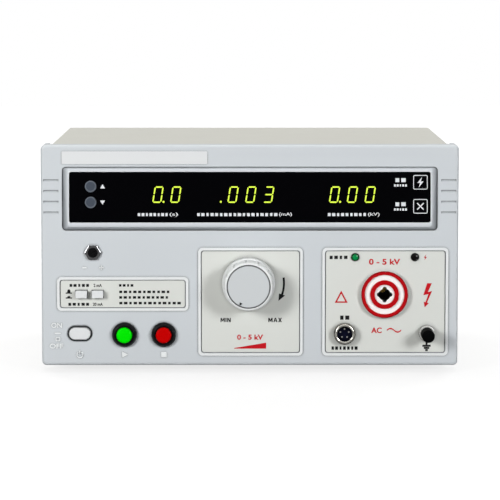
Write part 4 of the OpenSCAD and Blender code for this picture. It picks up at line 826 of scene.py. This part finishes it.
# Adjusting label: ends of the turn, its direction and its range
KNOB_U, KNOB_V = knob_axis.x / MM, knob_axis.z / MM
ARROW_R, ARROW_W = 27.2, 1.6
ARROW_START, ARROW_NECK, ARROW_TIP = 9.0, -19.0, -31.0
TURN_WORDS = (("MIN", -18.6), ("MAX", 19.4))
TURN_Z, TURN_H, TURN_STROKE, TURN_GAP = 40.2, 3.3, 0.8, 0.5
arrow = arc(KNOB_U, KNOB_V, ARROW_R + ARROW_W / 2, ARROW_START, ARROW_NECK, 10)
for out, turn in ((2.4, ARROW_NECK), (-0.4, ARROW_TIP), (-2.4, ARROW_NECK)):
    arrow += arc(KNOB_U, KNOB_V, ARROW_R + out, turn, turn, 1)[:1]
arrow += arc(KNOB_U, KNOB_V, ARROW_R - ARROW_W / 2, ARROW_NECK, ARROW_START, 10)
turn_shapes = [flat_shape([arrow], PRINT)]
for text, x in TURN_WORDS:
    turn_shapes += capitals(text, x, TURN_Z, TURN_H, TURN_STROKE, TURN_GAP, PRINT)
marks("turn_print", turn_shapes, LABEL, black_ink, lift=PRINT / 2)
RAMP_LEFT, RAMP_RIGHT, RAMP_Z = -12.0, 12.5, 20.2
ramp = [(RAMP_LEFT, RAMP_Z - 2.2), (RAMP_RIGHT, RAMP_Z - 2.2), (RAMP_RIGHT, RAMP_Z + 2.4),
        (RAMP_LEFT, RAMP_Z - 1.7)]
range_shapes = [words("0 - 5 kV", 0.2, 26.9, 4.1, PRINT, 20.0, BOLD), flat_shape([ramp], PRINT)]
marks("range_print", range_shapes, LABEL, red_ink, lift=PRINT / 2)


# Output label: signs in red and black
HV_X = middle("hv_socket").x / MM
TRIANGLE = (70.2, 58.2, 10.0, 9.4)
BOLT_AT = (136.6, 59.2)
BOLT_ARROW = ((3.2, 9.4), (-0.4, 9.4), (-3.3, 0.2), (0.6, 1.0), (-1.6, -5.2), (-3.0, -5.0), (-2.2, -9.2),
              (0.9, -6.0), (-0.5, -5.6), (3.4, 3.4), (0.2, 2.6))
WARNING_BOLT = (134.6, 88.6, 4.4)
AC_Z = 32.2
WAVE_X, WAVE_LONG, WAVE_HIGH, WAVE_HALF, WAVE_STEPS = HV_X + 2.0, 11.0, 1.4, 0.55, 24
x, z, wide, tall = TRIANGLE
line = 1.1
outer = [(x - wide / 2, z - tall / 2), (x + wide / 2, z - tall / 2), (x, z + tall / 2)]
inner = [(x - wide / 2 + line * 1.7, z - tall / 2 + line), (x + wide / 2 - line * 1.7, z - tall / 2 + line),
         (x, z + tall / 2 - line * 2.1)]
red_shapes = [flat_shape([outer, inner], PRINT), flat_shape([moved(BOLT_ARROW, *BOLT_AT)], PRINT),
              words("0 - 5 kV", HV_X, 85.2, 4.6, PRINT, 24.0, BOLD),
              words("AC", HV_X - 6.0, AC_Z, 4.4, PRINT, None, BOLD)]
wave = [(WAVE_X + WAVE_LONG * i / WAVE_STEPS, AC_Z + WAVE_HIGH * math.sin(2 * math.pi * i / WAVE_STEPS))
        for i in range(WAVE_STEPS + 1)]
red_shapes.append(flat_shape([moved(wave, 0, WAVE_HALF) + moved(wave[::-1], 0, -WAVE_HALF)], PRINT))
red_shapes.append(flat_shape([moved(BOLT, *WARNING_BOLT)], PRINT))
marks("output_red_print", red_shapes, LABEL, red_ink, lift=PRINT / 2)
CONTROL_X = middle("control_shell").x / MM
GROUND_X = middle("ground_post").x / MM
GROUND_TOP, GROUND_PITCH, GROUND_LINE = 20.2, 1.7, 1.55
# Rows of bars: left end, height, length, number of bars and their height
OUTPUT_ROWS = ((CONTROL_X - 10.5, 18.4, 21.0, 7, 2.6), (CONTROL_X - 4.2, 42.0, 8.4, 2, 3.2),
               (60.5, 88.6, 15.0, 4, 2.6))
ground_sign = [bar(GROUND_X, 22.7, 1.5, 3.6)]
for step, width in enumerate((6.4, 4.2, 2.0)):
    ground_sign.append(bar(GROUND_X, GROUND_TOP - GROUND_PITCH * step, width, GROUND_LINE))
black_shapes = [flat_shape([one], PRINT) for one in ground_sign]
black_shapes += [flat_shape(small_print(*row), PRINT) for row in OUTPUT_ROWS]
marks("output_black_print", black_shapes, LABEL, black_ink, lift=PRINT / 2)


# Raised signs on the moulding
RAISED, EDGE = 0.6, 0.15
LOW, LOW_TEXT_H, LOW_BOLD = 0.4, 4.0, 0.035
SWITCH_WORDS = (("ON", -148.6, 36.0, 8.4), ("OFF", -148.8, 20.0, 10.6))
POWER_X, POWER_Z = middle("power_button").x / MM, 13.3
START_X, STOP_X = middle("start_cap").x / MM, middle("stop_cap").x / MM
SIGN_Z = 13.4
PRESET_X, PRESET_Z, PRESET_OUT = middle("preset_pot").x / MM, 80.6, 6.5
DASH, DASH_LINE = 3.2, 0.7
low_words = [words(text, x, z, LOW_TEXT_H, LOW, width, LOW_BOLD) for text, x, z, width in SWITCH_WORDS]
marks("raised_words", low_words, FACE, raised_highlight_finish, lift=LOW / 2)
raised_outlines = (
    [bar(-147.8, 29.9, 4.4, 0.8)],
    frame_of(-147.6, 25.4, 3.6, 3.2, 0.9, 0.6),
    [arc(POWER_X, POWER_Z, 2.6, 125, 415, 24) + arc(POWER_X, POWER_Z, 2.0, 415, 125, 24)],
    [bar(POWER_X, POWER_Z + 1.9, 0.65, 2.6)],
    [moved([(-1.8, -2.2), (2.2, 0), (-1.8, 2.2)], START_X, SIGN_Z)],
    [rounded(STOP_X, SIGN_Z, 4.0, 4.0, 0.4)],
    [bar(PRESET_X - PRESET_OUT, PRESET_Z, DASH, DASH_LINE)],
    [bar(PRESET_X + PRESET_OUT, PRESET_Z, DASH, DASH_LINE)],
    [bar(PRESET_X + PRESET_OUT, PRESET_Z, DASH_LINE, DASH)],
)
raised = [flat_shape(outlines, RAISED, EDGE) for outlines in raised_outlines]
marks("raised_signs", raised, FACE, raised_highlight_finish, lift=RAISED / 2)

# Painted shade: dark rings laid in the gaps round the power button and round the knob's disc
power_low, power_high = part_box("power_button")
POWER_W, POWER_H = (power_high.x - power_low.x) / MM, (power_high.z - power_low.z) / MM
POWER_MID = middle("power_button").z / MM
gap_shade_ring = [stadium(POWER_X, POWER_MID, POWER_W + more, POWER_H + more) for more in (2.6, 0.5)]
marks("power_gap_shade", [flat_shape(gap_shade_ring, 1.6)], FACE, gap_shade_grey, lift=-2.1)
DISC_R = (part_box("knob_disc")[1].x - knob_axis.x) / MM
disc_ring = [circle(0, 0, DISC_R + more, 96) for more in (0.44, 0.06)]
marks("disc_gap_shade", [flat_shape(disc_ring, 1.4)], DISC, black_plastic, KNOB_BODY,
      lift=-0.95)

# Control socket: rounded chrome lip on the shell's front
LIP_R, LIP_THICK, LIP_FLAT, LIP_SINK = 0.0067, 0.0010, 0.8, 0.0002
bpy.ops.object.select_all(action="DESELECT")
bpy.ops.mesh.primitive_torus_add(major_radius=LIP_R, minor_radius=LIP_THICK, major_segments=72,
                                 minor_segments=16)
lip = bpy.context.object
lip.name = "control_lip"
bpy.ops.object.mode_set(mode="EDIT")
bpy.ops.mesh.select_all(action="SELECT")
bpy.ops.transform.resize(value=(1, 1, LIP_FLAT))
bpy.ops.object.mode_set(mode="OBJECT")
bpy.ops.object.shade_smooth()
control_mid = middle("control_shell")
lip.data.transform(upright_at(control_mid.x, corner("control_shell", 1, 0) + LIP_SINK, control_mid.z))
lip.data.materials.clear()
lip.data.materials.append(chrome)
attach(lip, BODY)

# Knob: black pointer mark in the disc's notch
POINTER = ((1.7, 0), (-0.9, 1.2), (-0.9, -1.2))
POINTER_R, POINTER_TURN = 14.4, 245
pointer = turned(moved(POINTER, POINTER_R, 0), POINTER_TURN)
marks("knob_pointer", [flat_shape([pointer], PRINT)], DISC, black_ink, KNOB_BODY,
      lift=PRINT / 2)

SOFT_EDGES = {
    0.0001: ("name_plate",),
    0.0002: ("knob_disc", "control_shell", "ground_collar"),
    0.0003: ("front_bezel", "start_ring", "stop_ring", "hv_socket", "preset_nut"),
    0.0004: ("voltage_knob", "mode_button", "range_button", "start_cap", "stop_cap", "hv_rings"),
    0.0006: ("display_surround", "up_button", "down_button"),
    0.0009: ("power_button",),
}
for width, names in SOFT_EDGES.items():
    for name in names:
        soften(name, width)


# Floor, light and camera
FLOOR_SIZE = 8.0
FLOOR_GREY = (0.17, 0.17, 0.17, 1.0)
# Distances between which the floor goes from its near glow to white, and its glow in mirrors
FLOOR_NEAR, FLOOR_FAR, NEAR_GLOW, MIRROR_GLOW = 0.3, 1.4, 0.78, 0.1
# Light of the studio walls on the object, and their brightness in mirrors by height
WALL_LIGHT = 0.05
MIRROR_HEIGHTS = (0.12, 0.7)
MIRROR_LEVELS = (0.12, 1.1)
bpy.ops.object.select_all(action="DESELECT")
bpy.ops.mesh.primitive_plane_add(size=FLOOR_SIZE)
floor = bpy.context.object
floor.name = "floor"
floor_material, floor_tree, floor_bsdf = start_material("floor")
floor_bsdf.inputs["Base Color"].default_value = FLOOR_GREY
floor_bsdf.inputs["Roughness"].default_value = 0.9
floor_path = floor_tree.add("LightPath").outputs
away = floor_tree.add("VectorMath", {0: floor_tree.place()}, operation="LENGTH").outputs["Value"]
seen = floor_tree.spread(away, FLOOR_NEAR, FLOOR_FAR, NEAR_GLOW, 1.0)
shine = floor_tree.spread(floor_path["Is Glossy Ray"], 0, 1, 0.0, MIRROR_GLOW)
shine = floor_tree.spread(floor_path["Is Camera Ray"], 0, 1, shine, seen)
glow = floor_tree.add("Emission", {"Color": (1, 1, 1, 1), "Strength": shine})
both = floor_tree.add("AddShader", {0: floor_bsdf.outputs[0], 1: glow.outputs[0]})
floor_tree.tree.links.new(both.outputs[0], floor_tree.tree.nodes["Material Output"].inputs["Surface"])
floor.data.materials.append(floor_material)

scene = bpy.context.scene
world = bpy.data.worlds.new("studio")
scene.world = world
world.use_nodes = True
sky = Tree(world.node_tree)
sky_path = sky.add("LightPath").outputs
height = sky.add("SeparateXYZ", {0: sky.add("TexCoord").outputs["Generated"]}).outputs["Z"]
mirrored = sky.spread(height, *MIRROR_HEIGHTS, *MIRROR_LEVELS)
strength = sky.spread(sky_path["Is Glossy Ray"], 0, 1, WALL_LIGHT, mirrored)
strength = sky.spread(sky_path["Is Camera Ray"], 0, 1, strength, 1.0)
backdrop = world.node_tree.nodes["Background"]
backdrop.inputs["Color"].default_value = (1, 1, 1, 1)
sky.tree.links.new(strength, backdrop.inputs["Strength"])


def softbox(name, place, target, size, power, colour):
    lamp = bpy.data.lights.new(name, "AREA")
    lamp.shape = "RECTANGLE"
    lamp.size, lamp.size_y = size
    lamp.energy = power
    lamp.color = colour
    made = bpy.data.objects.new(name, lamp)
    scene.collection.objects.link(made)
    made.location = place
    made.rotation_euler = (Vector(target) - Vector(place)).to_track_quat("-Z", "Y").to_euler()


AIM = (0, face_y, 0.09)
BACK_AIM = (0, rear_y, 0.09)
softbox("left", (-0.8, face_y - 1.1, 0.42), AIM, (0.38, 0.36), 11.5, (1.0, 0.998, 0.99))
softbox("right", (0.85, face_y - 1.2, 0.42), AIM, (0.38, 0.36), 10.5, (0.985, 0.992, 1.0))
softbox("top", (0.0, 0.25, 1.7), (0, 0.02, 0.17), (1.4, 1.0), 16.5, (1.0, 0.99, 0.965))
softbox("back_left", (-0.9, rear_y + 1.2, 0.5), BACK_AIM, (0.6, 0.5), 8.0, (1.0, 0.998, 0.99))
softbox("back_right", (0.9, rear_y + 1.2, 0.5), BACK_AIM, (0.6, 0.5), 8.0, (0.985, 0.992, 1.0))

PHOTO = 500
FOCAL_PX = 2761
CAMERA_BACK = 2.107
CAMERA_X, CAMERA_Z = -0.0048, 0.3085
PITCH, YAW = 5.806, -0.1338
camera_data = bpy.data.cameras.new("camera")
camera_data.sensor_width = 36
camera_data.lens = 36 * FOCAL_PX / PHOTO
camera_data.clip_end = 50
camera = bpy.data.objects.new("camera", camera_data)
scene.collection.objects.link(camera)
camera.location = (CAMERA_X, face_y - CAMERA_BACK, CAMERA_Z)
camera.rotation_euler = (math.radians(90 - PITCH), 0, math.radians(YAW))
scene.camera = camera
scene.view_settings.view_transform = "Standard"
